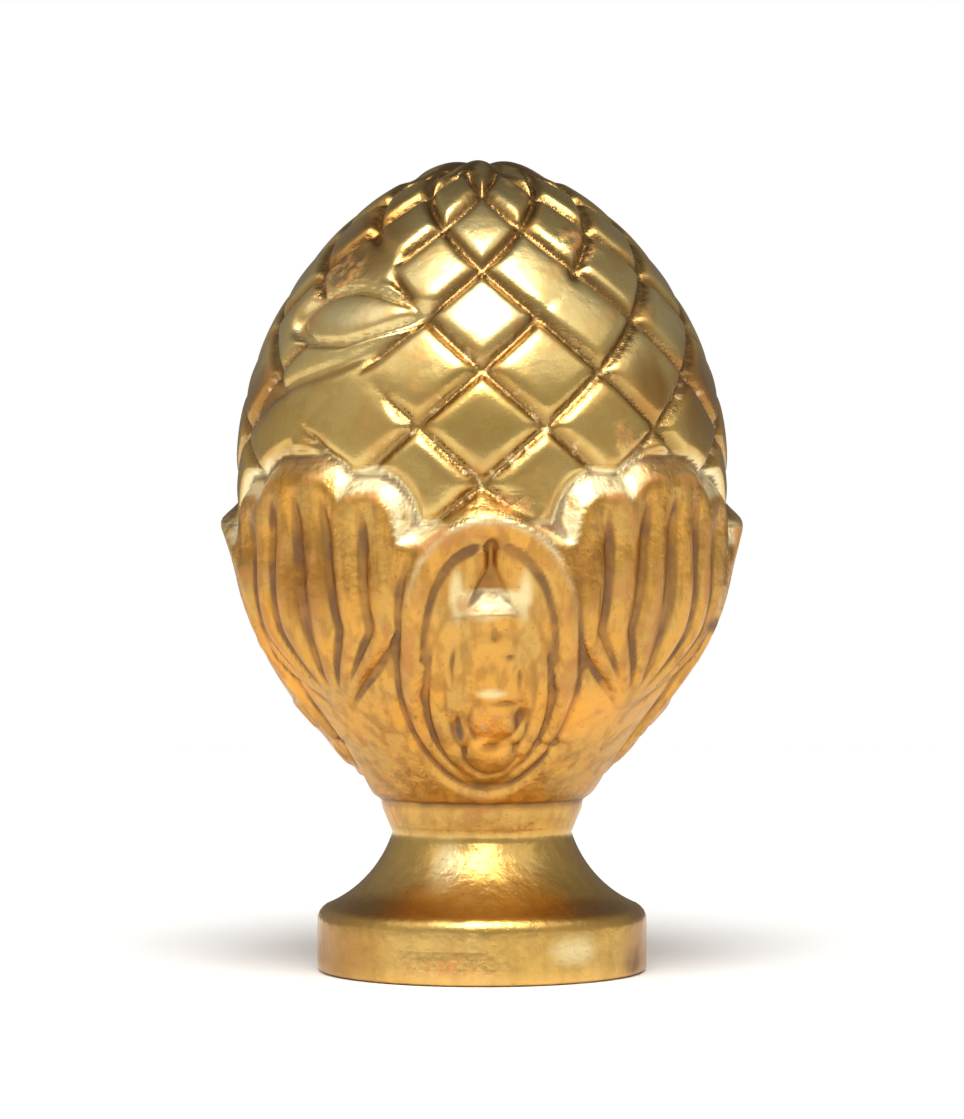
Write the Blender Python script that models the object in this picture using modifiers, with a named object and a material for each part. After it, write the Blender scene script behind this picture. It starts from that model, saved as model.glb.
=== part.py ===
"""A carved and gilded pineapple finial, made in one piece.

A turned blank stands on a round foot, narrows to a neck above a cove, swells into a cup and
closes as a fruit. The fruit is cut with two sets of crossing grooves that leave rows of
diamond scales. Four hooded tongues and four lobed leaves stand up from the cup and hold it.
The front is towards -Y and up is +Z. Sizes are in metres.
"""

import math
from dataclasses import dataclass

import bpy
import numpy as np

# Foot, cove and neck, as turned
FOOT_DIAMETER = 0.0500
FOOT_SIDE_HEIGHT = 0.0078
FOOT_EDGE_ROUND = 0.0010
SHOULDER_WIDTH = 0.0019
SHOULDER_HEIGHT = 0.0024
SHOULDER_BULGE = 0.0005
NECK_DIAMETER = 0.0272
NECK_HEIGHT = 0.0210
COVE_HOLLOW = 0.0015
COLLAR_DIAMETER = 0.0312
COLLAR_LENGTH = 0.0048

# Cup, side and fruit, as turned
BODY_DIAMETER = 0.0723
CUP_RISE = 0.0340
CUP_ROOT_ANGLE = math.radians(50.0)
CUP_ROOT_REACH = 0.0160
CUP_TOP_REACH = 0.0123
SIDE_LENGTH = 0.0167
FRUIT_RISE = 0.0453
FRUIT_SIDE_REACH = 0.0225
FRUIT_TIP_REACH = 0.0169

# Scales of the fruit, and the bumps round its tip
SCALES_AROUND = 12
SCALE_ROWS = 8
FIRST_ROW_DROP = 0.0034
SCALE_CROWN = 0.0012
SCALE_EDGE_POWER = 4.5
GROOVE_DEPTH = 0.0006
GROOVE_HALF_WIDTH = 0.0010
LEAST_RADIUS = 0.0045
TIP_RADIUS = 0.0125
TIP_BLEND = 0.30
TIP_BUTTON = 0.0002
TIP_BUMPS = 6
TIP_BUMP_RISE = 0.0014
TIP_BUMP_POWER = 0.6
TIP_TURN = math.radians(8.0)

# Calyx: four tongues with a leaf between each two, all turned a little from the front
CALYX_REPEATS = 4
CALYX_TURN = math.radians(2.0)
CALYX_FADE = 0.0024
FOOT_LINE_DEPTH = 0.0003
FOOT_LINE_HALF_WIDTH = 0.0006
LEAF_LEAN = math.radians(-1.0)
LEAF_SWAY = math.radians(2.8)

# Leaves, with heights over the foot of the cup
LEAF_ROOT_THICKNESS = 0.0002
LEAF_TOP_THICKNESS = 0.0004
LEAF_SWELL_START = 0.0180
LEAF_SWELL_END = 0.0400
LEAF_ROOT_HEIGHT = 0.0132
LEAF_SPREAD_HEIGHT = 0.0265
LEAF_LEAST_SPREAD = 0.02
LEAF_HALF_ANGLE = math.radians(31.0)
LEAF_EDGE_ANGLE = math.radians(5.0)
LEAF_EDGE_LEVEL = 0.0017
LEAF_EDGE_FADE = 0.0080
LEAF_LOWEST_EDGE = 0.0300
LEAF_EDGE_SPREAD = 1.6
LEAF_EDGE_PLACES = 120
FLUTE_ANGLE = math.radians(9.4)
FLUTE_ROUNDNESS = 1.1
ROOT_FLUTE = 0.0010
TOP_FLUTE = 0.0016
EDGE_FLUTE_SHARE = 0.12
LEDGE_RUN = 0.0040
LEDGE_SOFTNESS = 0.25
VALLEY_LEVEL = -0.0007
VALLEY_START = 0.8
VALLEY_RUN = 0.0016

# Grain of the carved surface before it is thinned out
COLUMNS_PER_SCALE = 22
STEPS_PER_ROW = 11
CUP_STEPS = 66
SIDE_STEPS = 28
COVE_STEPS = 10
COLLAR_STEPS = 3
EDGE_STEPS = 4
CURVE_SAMPLES = 2001
TRIANGLE_TARGET = 9800
MERGE_DISTANCE = 0.00005
SHARP_ANGLE = math.radians(55.0)

GILT_COLOUR = (0.80, 0.52, 0.18, 1.0)
GILT_ROUGHNESS = 0.32


@dataclass(frozen=True)
class OvalPatch:
    """An oval place on the surface, by the turn and height of its middle."""

    turn: float
    height: float
    half_turn: float
    half_height: float

    def reach(self, turn, height):
        """Distance from the middle, 1 on the outline."""
        return np.hypot((turn - self.turn) / self.half_turn, (height - self.height) / self.half_height)


@dataclass(frozen=True)
class Outline:
    """An upright oval, blunt above its middle and pointed below. Its heights are over the foot of the cup."""

    top: float
    middle: float
    bottom: float
    half_width: float
    aside: float = 0.0
    upper_power: float = 2.2
    lower_power: float = 1.6
    height_power: float = 2.1
    least_reach: float = 0.05
    least_distance: float = 0.000001

    def reach(self, across, up):
        """Distance from the middle, 1 on the outline."""
        above = up > self.middle
        height = np.where(above, self.top - self.middle, self.middle - self.bottom)
        power = np.where(above, self.upper_power, self.lower_power)
        side = np.abs((across - self.aside) / self.half_width) ** power
        rise = np.abs((up - self.middle) / height) ** self.height_power
        return np.maximum((side + rise) ** (1.0 / self.height_power), self.least_reach)

    def away(self, across, up):
        """Distance from the middle, in metres."""
        return np.maximum(np.hypot(across - self.aside, up - self.middle), self.least_distance)

    def outside(self, across, up):
        """Distance past the outline in metres, below 0 inside it."""
        return (1.0 - 1.0 / self.reach(across, up)) * self.away(across, up)

    def upward(self, across, up):
        """How straight above the middle a place lies, from 0 to 1."""
        return np.clip((up - self.middle) / self.away(across, up), 0.0, 1.0)

    def edge_height(self, across):
        """Height of the upper outline over each place."""
        share = np.minimum(1.0, np.abs(across - self.aside) / self.half_width)
        rise = (1.0 - share**self.upper_power) ** (1.0 / self.height_power)
        return self.middle + (self.top - self.middle) * rise


@dataclass(frozen=True)
class Bract:
    """A leaf tip laid on the cup, with a sloping ledge above it and a groove round its sides."""

    outline: Outline
    foot_level: float
    top_level: float
    lip: float = 0.0
    lip_fall: float = 0.0020
    rounding: float = 0.0
    rounded_width: float = 0.0033
    groove: float = 0.0004
    groove_width: float = 0.0005
    side_run: float = 0.0010
    top_run: float = 0.0026
    run_power: float = 3.0
    softness: float = 0.5

    def face(self, across, up):
        """Height of the bract's face over the blank."""
        outline = self.outline
        share = np.clip((up - outline.bottom) / (outline.top - outline.bottom), 0.0, 1.0)
        level = self.foot_level + (self.top_level - self.foot_level) * share
        fall = np.maximum(0.0, outline.edge_height(across) - up) / self.lip_fall
        lip = self.lip * np.exp(-fall) * outline.upward(across, up) ** 2
        inside = np.clip(-outline.outside(across, up) / self.rounded_width, 0.0, 1.0)
        return level + lip - self.rounding * (2.0 * inside - 1.0) ** 2

    def laid_on(self, rise, across, up):
        """The surface once this bract stands on it."""
        outside = self.outline.outside(across, up)
        upward = self.outline.upward(across, up)
        run = self.side_run + (self.top_run - self.side_run) * upward**self.run_power
        cover = ledge(outside / run, self.softness)
        groove = self.groove * bump((outside - 0.5 * self.side_run) / self.groove_width)
        return rise + (self.face(across, up) - rise) * cover - groove * (1.0 - upward)


@dataclass(frozen=True)
class Niche:
    """The hollow under a hood. Its walls slope in to a deeper fold, which ends above in a slit."""

    outline: Outline
    depth: float
    slope: float
    fold_foot: float
    fold_top: float
    fold_half_width: float
    fold_depth: float
    fold_edge: float
    slit_height: float
    slit_half_height: float
    slit_half_width: float
    slit_depth: float
    line_depth: float
    line_half_width: float

    def cut_into(self, rise, across, up):
        """The surface once the hollow is cut into it."""
        share = np.clip(1.0 - self.outline.reach(across, up), 0.0, 1.0)
        climb = (self.fold_top - up) / (self.fold_top - self.fold_foot)
        fold = smooth((self.fold_half_width * climb - np.abs(across)) / self.fold_edge)
        slit = bump(np.hypot(across / self.slit_half_width, (up - self.slit_height) / self.slit_half_height))
        edge = bump(self.outline.outside(across, up) / self.line_half_width)
        rise = rise - self.depth * share**self.slope - self.line_depth * edge
        return rise - self.fold_depth * fold - self.slit_depth * slit


@dataclass(frozen=True)
class Lobe:
    """One lobe of a leaf's edge, by its angle from the leaf's middle and its tip's height."""

    turn: float
    half_turn: float
    tip: float
    drop: float = 0.0030
    power: float = 4.0

    def edge(self, offset):
        """Height of the lobe's edge over each place."""
        return self.tip - self.drop * (np.abs(offset - self.turn) / self.half_turn) ** self.power


@dataclass(frozen=True)
class Stroke:
    """A groove cut along a bent line, given by the turn in degrees and the height of its corners."""

    corners: tuple
    depth: float
    half_width: float

    def cut(self, turn, height, radius):
        """Depth of the groove at each place."""
        nearest = np.full_like(turn, np.inf)
        for (first_turn, first_height), (next_turn, next_height) in zip(self.corners, self.corners[1:]):
            along = math.radians(next_turn - first_turn) * radius
            rise = next_height - first_height
            x = (turn - math.radians(first_turn)) * radius
            y = height - first_height
            share = np.clip((x * along + y * rise) / (along**2 + rise**2), 0.0, 1.0)
            nearest = np.minimum(nearest, np.hypot(x - share * along, y - share * rise))
        return self.depth * bump(nearest / self.half_width)


HOOD = Bract(
    outline=Outline(top=0.0422, middle=0.0214, bottom=0.0024, half_width=0.0131),
    foot_level=0.0004,
    top_level=0.0024,
    lip=0.0022,
    lip_fall=0.0016,
    rounding=0.0008,
    rounded_width=0.0034,
    groove=0.0006,
    top_run=0.0031,
)
NICHE = Niche(
    outline=Outline(top=0.0384, middle=0.0215, bottom=0.0034, half_width=0.0100),
    depth=0.0032,
    slope=0.60,
    fold_foot=0.0262,
    fold_top=0.0384,
    fold_half_width=0.0056,
    fold_depth=0.0011,
    fold_edge=0.0010,
    slit_height=0.0374,
    slit_half_height=0.0026,
    slit_half_width=0.0005,
    slit_depth=0.0015,
    line_depth=0.0006,
    line_half_width=0.0008,
)
PLATE = Bract(
    outline=Outline(top=0.0283, middle=0.0178, bottom=0.0036, half_width=0.0090, upper_power=3.0),
    foot_level=0.0001,
    top_level=-0.0006,
    lip=0.0005,
    lip_fall=0.0022,
    groove=0.0007,
    top_run=0.0042,
    run_power=9.0,
    softness=0.2,
)
INNER_PLATE = Bract(
    outline=Outline(top=0.0243, middle=0.0175, bottom=0.0080, half_width=0.0062, aside=0.0002, lower_power=3.0),
    foot_level=0.0002,
    top_level=0.0,
    lip=0.0002,
    groove=0.0005,
    side_run=0.0007,
    top_run=0.0012,
)
TABLET = Bract(
    outline=Outline(
        top=0.0152,
        middle=0.0128,
        bottom=0.0106,
        half_width=0.0034,
        aside=0.0008,
        upper_power=4.0,
        lower_power=5.0,
    ),
    foot_level=0.0002,
    top_level=0.0005,
    groove=0.0008,
    side_run=0.0007,
    top_run=0.0011,
)
KNOB = Bract(
    outline=Outline(top=0.0101, middle=0.0078, bottom=0.0050, half_width=0.0034, aside=0.0004),
    foot_level=0.0001,
    top_level=0.0003,
    groove=0.0007,
    side_run=0.0007,
    top_run=0.0009,
)

LEAF_LOBES = (
    Lobe(turn=math.radians(0.0), half_turn=math.radians(12.0), tip=0.0482),
    Lobe(turn=math.radians(18.0), half_turn=math.radians(6.4), tip=0.0455),
    Lobe(turn=math.radians(29.0), half_turn=math.radians(6.5), tip=0.0382),
)

# The carver's odd cuts: a scale like a lens on the left of the front, and plain ground round it
LENS = OvalPatch(turn=math.radians(-36.5), height=0.0976, half_turn=math.radians(20.5), half_height=0.0041)
PLAIN_GROUND = OvalPatch(turn=math.radians(-42.0), height=0.1045, half_turn=math.radians(19.0), half_height=0.0048)
GROUND_LEVEL = 0.0006
GROUND_EDGE = 0.35
LENS_LEVEL = 0.0002
LENS_CROWN = 0.0009
LENS_TAPER = 0.40
LENS_TILT = 0.0009
LENS_GROOVE = 0.0007
LENS_GROOVE_PLACE = 1.08
LENS_GROOVE_WIDTH = 0.20
LENS_REACH = 1.35
LENS_EDGE = 0.25
BENT_GROOVE = Stroke(
    corners=(
        (-15.0, 0.0979),
        (-22.0, 0.0949),
        (-30.4, 0.0916),
        (-36.0, 0.0903),
        (-44.5, 0.0890),
        (-51.3, 0.0880),
        (-59.0, 0.0862),
        (-70.0, 0.0820),
    ),
    depth=0.0009,
    half_width=0.0012,
)

# Places where the grooves of one hand fade out
FADE_DEPTH = 0.90
FADE_EDGE = 0.45
RIGHT_FADES = (
    OvalPatch(turn=math.radians(-42.0), height=0.0850, half_turn=math.radians(23.0), half_height=0.0100),
    OvalPatch(turn=math.radians(21.0), height=0.1006, half_turn=math.radians(10.0), half_height=0.0056),
)
LEFT_FADES = (
    OvalPatch(turn=math.radians(-40.0), height=0.0862, half_turn=math.radians(25.0), half_height=0.0075),
    OvalPatch(turn=math.radians(-36.0), height=0.0915, half_turn=math.radians(22.0), half_height=0.0060),
)


def smooth(share):
    """Eases from 0 to 1 as share goes from 0 to 1."""
    share = np.clip(share, 0.0, 1.0)
    return share * share * (3.0 - 2.0 * share)


def bump(distance):
    """A bell curve, 1 at no distance."""
    return np.exp(-(distance**2))


def ledge(share, softness):
    """A slope from 1 down to 0 as share goes from 0 to 1, with soft ends."""
    share = np.clip(share, 0.0, 1.0)
    return (1.0 - softness) * (1.0 - share) + softness * smooth(1.0 - share)


def line(start, end, steps):
    """Points after start, up to end, on a straight line."""
    shares = np.arange(1, steps + 1)[:, None] / steps
    return np.asarray(start) + shares * (np.asarray(end) - np.asarray(start))


def arc(start, end, bulge, steps):
    """Points after start, up to end, on an arc that stands off its chord, outwards if bulge is over 0."""
    start, end = np.asarray(start), np.asarray(end)
    chord = np.hypot(*(end - start))
    along = (end - start) / chord
    side = np.array([along[1], -along[0]])
    radius = (chord**2 / 4.0 + bulge**2) / (2.0 * bulge)
    half_turn = math.asin(chord / (2.0 * radius))
    turns = half_turn * (2.0 * np.arange(1, steps + 1) / steps - 1.0)
    run = chord / 2.0 + radius * np.sin(turns)
    off = bulge - radius * (1.0 - np.cos(turns))
    return start + run[:, None] * along + off[:, None] * side


def bezier(start, start_handle, end_handle, end, steps):
    """Points after start, up to end, on a cubic curve, evenly spaced along it."""
    fine = np.linspace(0.0, 1.0, CURVE_SAMPLES)[:, None]
    corners = [np.asarray(corner) for corner in (start, start_handle, end_handle, end)]
    weights = ((1 - fine) ** 3, 3 * fine * (1 - fine) ** 2, 3 * fine**2 * (1 - fine), fine**3)
    curve = sum(weight * corner for weight, corner in zip(weights, corners))
    lengths = running_length(curve)
    wanted = np.arange(1, steps + 1) / steps * lengths[-1]
    return np.stack([np.interp(wanted, lengths, curve[:, axis]) for axis in (0, 1)], axis=1)


def running_length(points):
    """Length along a line of points, up to each of them."""
    return np.concatenate([[0.0], np.cumsum(np.hypot(*np.diff(points, axis=0).T))])


def cup_foot():
    """Height at which the cup leaves the neck's collar."""
    return NECK_HEIGHT + COLLAR_LENGTH


def fruit_foot():
    """Height at which the fruit begins to close."""
    return cup_foot() + CUP_RISE + SIDE_LENGTH


def blank_profile():
    """The turned outline, from the middle of the underside up the outside to the tip."""
    foot = FOOT_DIAMETER / 2.0
    body = BODY_DIAMETER / 2.0
    tip_height = fruit_foot() + FRUIT_RISE
    under_edge = (foot - FOOT_EDGE_ROUND, 0.0)
    side_foot = (foot, FOOT_EDGE_ROUND)
    side_top = (foot, FOOT_SIDE_HEIGHT)
    shoulder = (foot - SHOULDER_WIDTH, FOOT_SIDE_HEIGHT + SHOULDER_HEIGHT)
    neck = (NECK_DIAMETER / 2.0, NECK_HEIGHT)
    cup_start = (COLLAR_DIAMETER / 2.0, cup_foot())
    root_handle = (
        cup_start[0] + CUP_ROOT_REACH * math.cos(CUP_ROOT_ANGLE),
        cup_start[1] + CUP_ROOT_REACH * math.sin(CUP_ROOT_ANGLE),
    )
    cup_end = (body, cup_foot() + CUP_RISE)
    cup_handle = (body, cup_end[1] - CUP_TOP_REACH)
    fruit_start = (body, fruit_foot())
    side_handle = (body, fruit_start[1] + FRUIT_SIDE_REACH)
    tip_handle = (FRUIT_TIP_REACH, tip_height)
    tip = (0.0, tip_height)
    edge_bulge = FOOT_EDGE_ROUND * (1.0 - math.sqrt(0.5))
    return np.concatenate(
        [
            [(0.0, 0.0), under_edge],
            arc(under_edge, side_foot, edge_bulge, EDGE_STEPS),
            line(side_foot, side_top, 1),
            arc(side_top, shoulder, SHOULDER_BULGE, EDGE_STEPS),
            arc(shoulder, neck, -COVE_HOLLOW, COVE_STEPS),
            line(neck, cup_start, COLLAR_STEPS),
            bezier(cup_start, root_handle, cup_handle, cup_end, CUP_STEPS),
            line(cup_end, fruit_start, SIDE_STEPS),
            bezier(fruit_start, side_handle, tip_handle, tip, STEPS_PER_ROW * SCALE_ROWS),
        ]
    )


def turned_blank(profile):
    """The blank as a mesh, one column of faces for each part of a scale's width."""
    mesh = bpy.data.meshes.new("outline")
    points = [(radius, 0.0, height) for radius, height in profile[::-1].tolist()]
    mesh.from_pydata(points, [(n, n + 1) for n in range(len(points) - 1)], [])
    outline = bpy.data.objects.new("outline", mesh)
    bpy.context.scene.collection.objects.link(outline)
    screw = outline.modifiers.new("turn", "SCREW")
    screw.steps = screw.render_steps = SCALES_AROUND * COLUMNS_PER_SCALE
    screw.use_merge_vertices = True
    screw.merge_threshold = MERGE_DISTANCE
    graph = bpy.context.evaluated_depsgraph_get()
    blank = bpy.data.meshes.new_from_object(outline.evaluated_get(graph))
    bpy.data.objects.remove(outline)
    return blank


def strength(turn, height, fades):
    """How deep the grooves of one hand are cut, from 0 to 1."""
    left = np.ones_like(turn)
    for fade in fades:
        left = left * (1.0 - FADE_DEPTH * smooth((1.0 - fade.reach(turn, height)) / FADE_EDGE))
    return left


def scale_rise(turn, height, rows, radius, pitch):
    """Rise of the diamond scales, pillows between two crossing sets of grooves."""
    across = turn * SCALES_AROUND / (2.0 * math.pi)
    half_width = np.maximum(radius, LEAST_RADIUS) * math.pi / SCALES_AROUND
    between = 2.0 * half_width * pitch / np.hypot(half_width, pitch)
    pillow = np.ones_like(turn)
    groove = np.zeros_like(turn)
    hands = ((rows / 2.0 - across, RIGHT_FADES), (rows / 2.0 + across, LEFT_FADES))
    for number, fades in hands:
        off = np.abs(number - np.round(number))
        cut = strength(turn, height, fades)
        pillow = pillow * (1.0 - cut * (1.0 - 2.0 * off) ** SCALE_EDGE_POWER)
        groove = np.maximum(groove, cut * bump(off * between / GROOVE_HALF_WIDTH))
    return SCALE_CROWN * pillow - GROOVE_DEPTH * groove


def tip_rise(turn, radius):
    """Rise of the bumps round the tip, with a low button in their middle."""
    ring = np.minimum(1.0, radius / TIP_RADIUS) * math.pi
    bumps = np.abs(np.cos(0.5 * TIP_BUMPS * (turn + TIP_TURN))) ** TIP_BUMP_POWER * np.sin(ring)
    return TIP_BUTTON * np.maximum(0.0, np.cos(ring)) + TIP_BUMP_RISE * bumps


def lens_reach(turn, height):
    """Distance from the middle of the lens, 1 on its outline, which rises and narrows to the right."""
    across = (turn - LENS.turn) / LENS.half_turn
    half_height = LENS.half_height * (1.0 - LENS_TAPER * np.clip(across, 0.0, 1.0))
    return np.hypot(across, (height - LENS.height - LENS_TILT * across) / half_height)


def fruit_rise(turn, height, rows, radius, pitch):
    """Rise of the carved fruit over the blank."""
    rise = scale_rise(turn, height, rows, radius, pitch)
    at_tip = np.where(rows > SCALE_ROWS / 2.0, smooth((1.0 - radius / TIP_RADIUS) / TIP_BLEND), 0.0)
    rise = rise + (tip_rise(turn, radius) - rise) * at_tip
    lens = lens_reach(turn, height)
    groove = LENS_GROOVE * bump((lens - LENS_GROOVE_PLACE) / LENS_GROOVE_WIDTH)
    odd = LENS_LEVEL + LENS_CROWN * np.sqrt(np.maximum(0.0, 1.0 - lens**2)) - groove
    at_lens = smooth((LENS_REACH - lens) / LENS_EDGE)
    at_ground = smooth((1.0 - PLAIN_GROUND.reach(turn, height)) / GROUND_EDGE)
    plain = GROUND_LEVEL + (odd - GROUND_LEVEL) * at_lens
    rise = rise + (plain - rise) * np.maximum(at_lens, at_ground)
    return rise - BENT_GROOVE.cut(turn, height, radius)


def leaf_top(offset):
    """Height of a leaf's lobed edge over the foot of the cup."""
    highest = np.maximum.reduce([lobe.edge(np.abs(offset)) for lobe in LEAF_LOBES])
    return np.maximum(highest, LEAF_LOWEST_EDGE)


def leaf_face(offset, up):
    """Height of a leaf's fluted face over the blank."""
    spread = (up - LEAF_ROOT_HEIGHT) / (LEAF_SPREAD_HEIGHT - LEAF_ROOT_HEIGHT)
    spread = np.clip(spread, LEAF_LEAST_SPREAD, 1.0)
    fan = offset / spread
    ridge = np.abs(np.sin(math.pi * fan / FLUTE_ANGLE)) ** FLUTE_ROUNDNESS
    on_leaf = smooth((LEAF_HALF_ANGLE - fan) / LEAF_EDGE_ANGLE)
    swell = smooth((up - LEAF_SWELL_START) / (LEAF_SWELL_END - LEAF_SWELL_START))
    at_edge = smooth(1.0 - (leaf_top(offset) - up) / LEAF_EDGE_FADE)
    flute = (ROOT_FLUTE + (TOP_FLUTE - ROOT_FLUTE) * swell) * smooth(spread)
    flute = flute * (1.0 - (1.0 - EDGE_FLUTE_SHARE) * at_edge)
    thickness = LEAF_ROOT_THICKNESS + (LEAF_TOP_THICKNESS - LEAF_ROOT_THICKNESS) * swell
    return thickness + LEAF_EDGE_LEVEL * at_edge + flute * ridge * on_leaf


def leaf_laid_on(rise, offset, up, radius):
    """The surface once a leaf stands on it, with a ledge that slopes back to a valley above its edge."""
    edge_offset = np.linspace(-LEAF_EDGE_ANGLE, LEAF_HALF_ANGLE * LEAF_EDGE_SPREAD, LEAF_EDGE_PLACES)
    edge_up = leaf_top(edge_offset)
    edge_face = leaf_face(np.abs(edge_offset), edge_up)
    past = np.full_like(up, np.inf)
    face = np.zeros_like(up)
    for place_offset, place_up, place_face in zip(edge_offset, edge_up, edge_face):
        distance = np.hypot((offset - place_offset) * radius, up - place_up)
        face = np.where(distance < past, place_face, face)
        past = np.minimum(past, distance)
    above = up > leaf_top(offset)
    past = np.where(above, past, 0.0)
    face = np.where(above, face, leaf_face(offset, up))
    far = smooth((past - VALLEY_START * LEDGE_RUN) / VALLEY_RUN)
    ground = VALLEY_LEVEL + (rise - VALLEY_LEVEL) * far
    return ground + (face - ground) * ledge(past / LEDGE_RUN, LEDGE_SOFTNESS)


def from_nearest(turn, first):
    """Angle from the nearest of the evenly spaced places, one of which is at first."""
    repeat = 2.0 * math.pi / CALYX_REPEATS
    return np.mod(turn - first + repeat / 2.0, repeat) - repeat / 2.0


def calyx_rise(fruit, turn, up, radius):
    """Rise of the calyx, laid on the fruit's own rise."""
    lean = LEAF_LEAN + LEAF_SWAY * np.sin(turn)
    offset = np.abs(from_nearest(turn, CALYX_TURN + math.pi / CALYX_REPEATS + lean))
    rise = leaf_laid_on(fruit, offset, up, radius)
    across = from_nearest(turn, CALYX_TURN) * radius
    rise = HOOD.laid_on(rise, across, up)
    rise = NICHE.cut_into(rise, across, up)
    for bract in (PLATE, INNER_PLATE, TABLET, KNOB):
        rise = bract.laid_on(rise, across, up)
    return rise * smooth(up / CALYX_FADE) - FOOT_LINE_DEPTH * bump(up / FOOT_LINE_HALF_WIDTH)


def carve(mesh, profile):
    """Moves each point of the blank along its normal, to the carved surface."""
    count = len(mesh.vertices)
    places = np.empty(count * 3)
    mesh.vertices.foreach_get("co", places)
    places = places.reshape(count, 3)
    normals = np.empty(count * 3)
    mesh.vertex_normals.foreach_get("vector", normals)
    normals = normals.reshape(count, 3)
    radius = np.hypot(places[:, 0], places[:, 1])
    turn = np.arctan2(places[:, 0], -places[:, 1])
    height = places[:, 2]
    lengths = running_length(profile)
    along = np.interp(height, profile[:, 1], lengths)
    first_row = np.interp(fruit_foot() - FIRST_ROW_DROP, profile[:, 1], lengths)
    pitch = (lengths[-1] - first_row) / SCALE_ROWS
    fruit = fruit_rise(turn, height, (along - first_row) / pitch, radius, pitch)
    rise = calyx_rise(fruit, turn, height - cup_foot(), radius)
    mesh.vertices.foreach_set("co", (places + normals * rise[:, None]).ravel())
    mesh.update()


def thinned(mesh, name):
    """The mesh with fewer triangles where it is nearly flat, smooth but for its sharp edges."""
    mesh.calc_loop_triangles()
    dense = bpy.data.objects.new("dense", mesh)
    bpy.context.scene.collection.objects.link(dense)
    thin = dense.modifiers.new("thin", "DECIMATE")
    thin.ratio = min(1.0, TRIANGLE_TARGET / len(mesh.loop_triangles))
    graph = bpy.context.evaluated_depsgraph_get()
    result = bpy.data.meshes.new_from_object(dense.evaluated_get(graph))
    bpy.data.objects.remove(dense)
    result.name = name
    result.shade_smooth()
    result.set_sharp_from_angle(angle=SHARP_ANGLE)
    return result


def gilding():
    """Gold leaf over red bole, rubbed back in use."""
    material = bpy.data.materials.new("gold_leaf")
    material.use_nodes = True
    shader = material.node_tree.nodes["Principled BSDF"]
    shader.inputs["Base Color"].default_value = GILT_COLOUR
    shader.inputs["Metallic"].default_value = 1.0
    shader.inputs["Roughness"].default_value = GILT_ROUGHNESS
    return material


def main():
    """Clears the scene and builds the finial."""
    for old in list(bpy.data.objects):
        bpy.data.objects.remove(old)
    collection = bpy.data.collections.new("pineapple finial")
    bpy.context.scene.collection.children.link(collection)
    profile = blank_profile()
    blank = turned_blank(profile)
    carve(blank, profile)
    mesh = thinned(blank, "pineapple_finial")
    mesh.materials.append(gilding())
    collection.objects.link(bpy.data.objects.new("pineapple_finial", mesh))


main()
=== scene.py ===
"""The look of a carved and gilded pineapple finial, on a pale floor in soft studio light.

One dense piece stands for the finial's one solid. Its turned blank is built as a grid of
points, the carving of the leaves and tongues is worked out over that grid, and a Geometry
Nodes tree cuts the crossing grooves of the fruit and raises everything from the blank. Sizes
are in metres, the front is towards -Y and up is +Z.
"""

import logging
import math
from dataclasses import dataclass, field
from enum import Enum
from typing import Any, Mapping, Sequence, Union

import bpy
import numpy as np
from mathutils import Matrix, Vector


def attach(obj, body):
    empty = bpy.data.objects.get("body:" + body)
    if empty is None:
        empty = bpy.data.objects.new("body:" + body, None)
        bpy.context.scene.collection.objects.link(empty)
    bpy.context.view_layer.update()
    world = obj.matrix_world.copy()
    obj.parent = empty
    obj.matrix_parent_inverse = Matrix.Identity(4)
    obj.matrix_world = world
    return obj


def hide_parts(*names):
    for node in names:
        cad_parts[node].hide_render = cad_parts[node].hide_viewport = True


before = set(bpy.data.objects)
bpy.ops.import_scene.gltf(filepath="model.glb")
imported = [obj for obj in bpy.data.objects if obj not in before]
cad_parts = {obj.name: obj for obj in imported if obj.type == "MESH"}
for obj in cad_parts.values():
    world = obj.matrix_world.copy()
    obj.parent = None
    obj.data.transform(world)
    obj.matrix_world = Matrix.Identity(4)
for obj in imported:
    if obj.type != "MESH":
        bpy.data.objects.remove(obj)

LOG = logging.getLogger("pineapple finial")
NODE = "pineapple_finial"
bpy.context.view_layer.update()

Operand = Union["Term", float]
Terms = Mapping[str, "Term"]
Grid = np.ndarray
Colour = tuple[float, float, float, float]
MARKS = ("calyx", "painted_ledge_highlight", "groove", "edge", "hollow", "rubbed", "pale", "orange", "painted_shade_and_browning", "dirty", "high")
CURVE_SAMPLES = 2001


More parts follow.
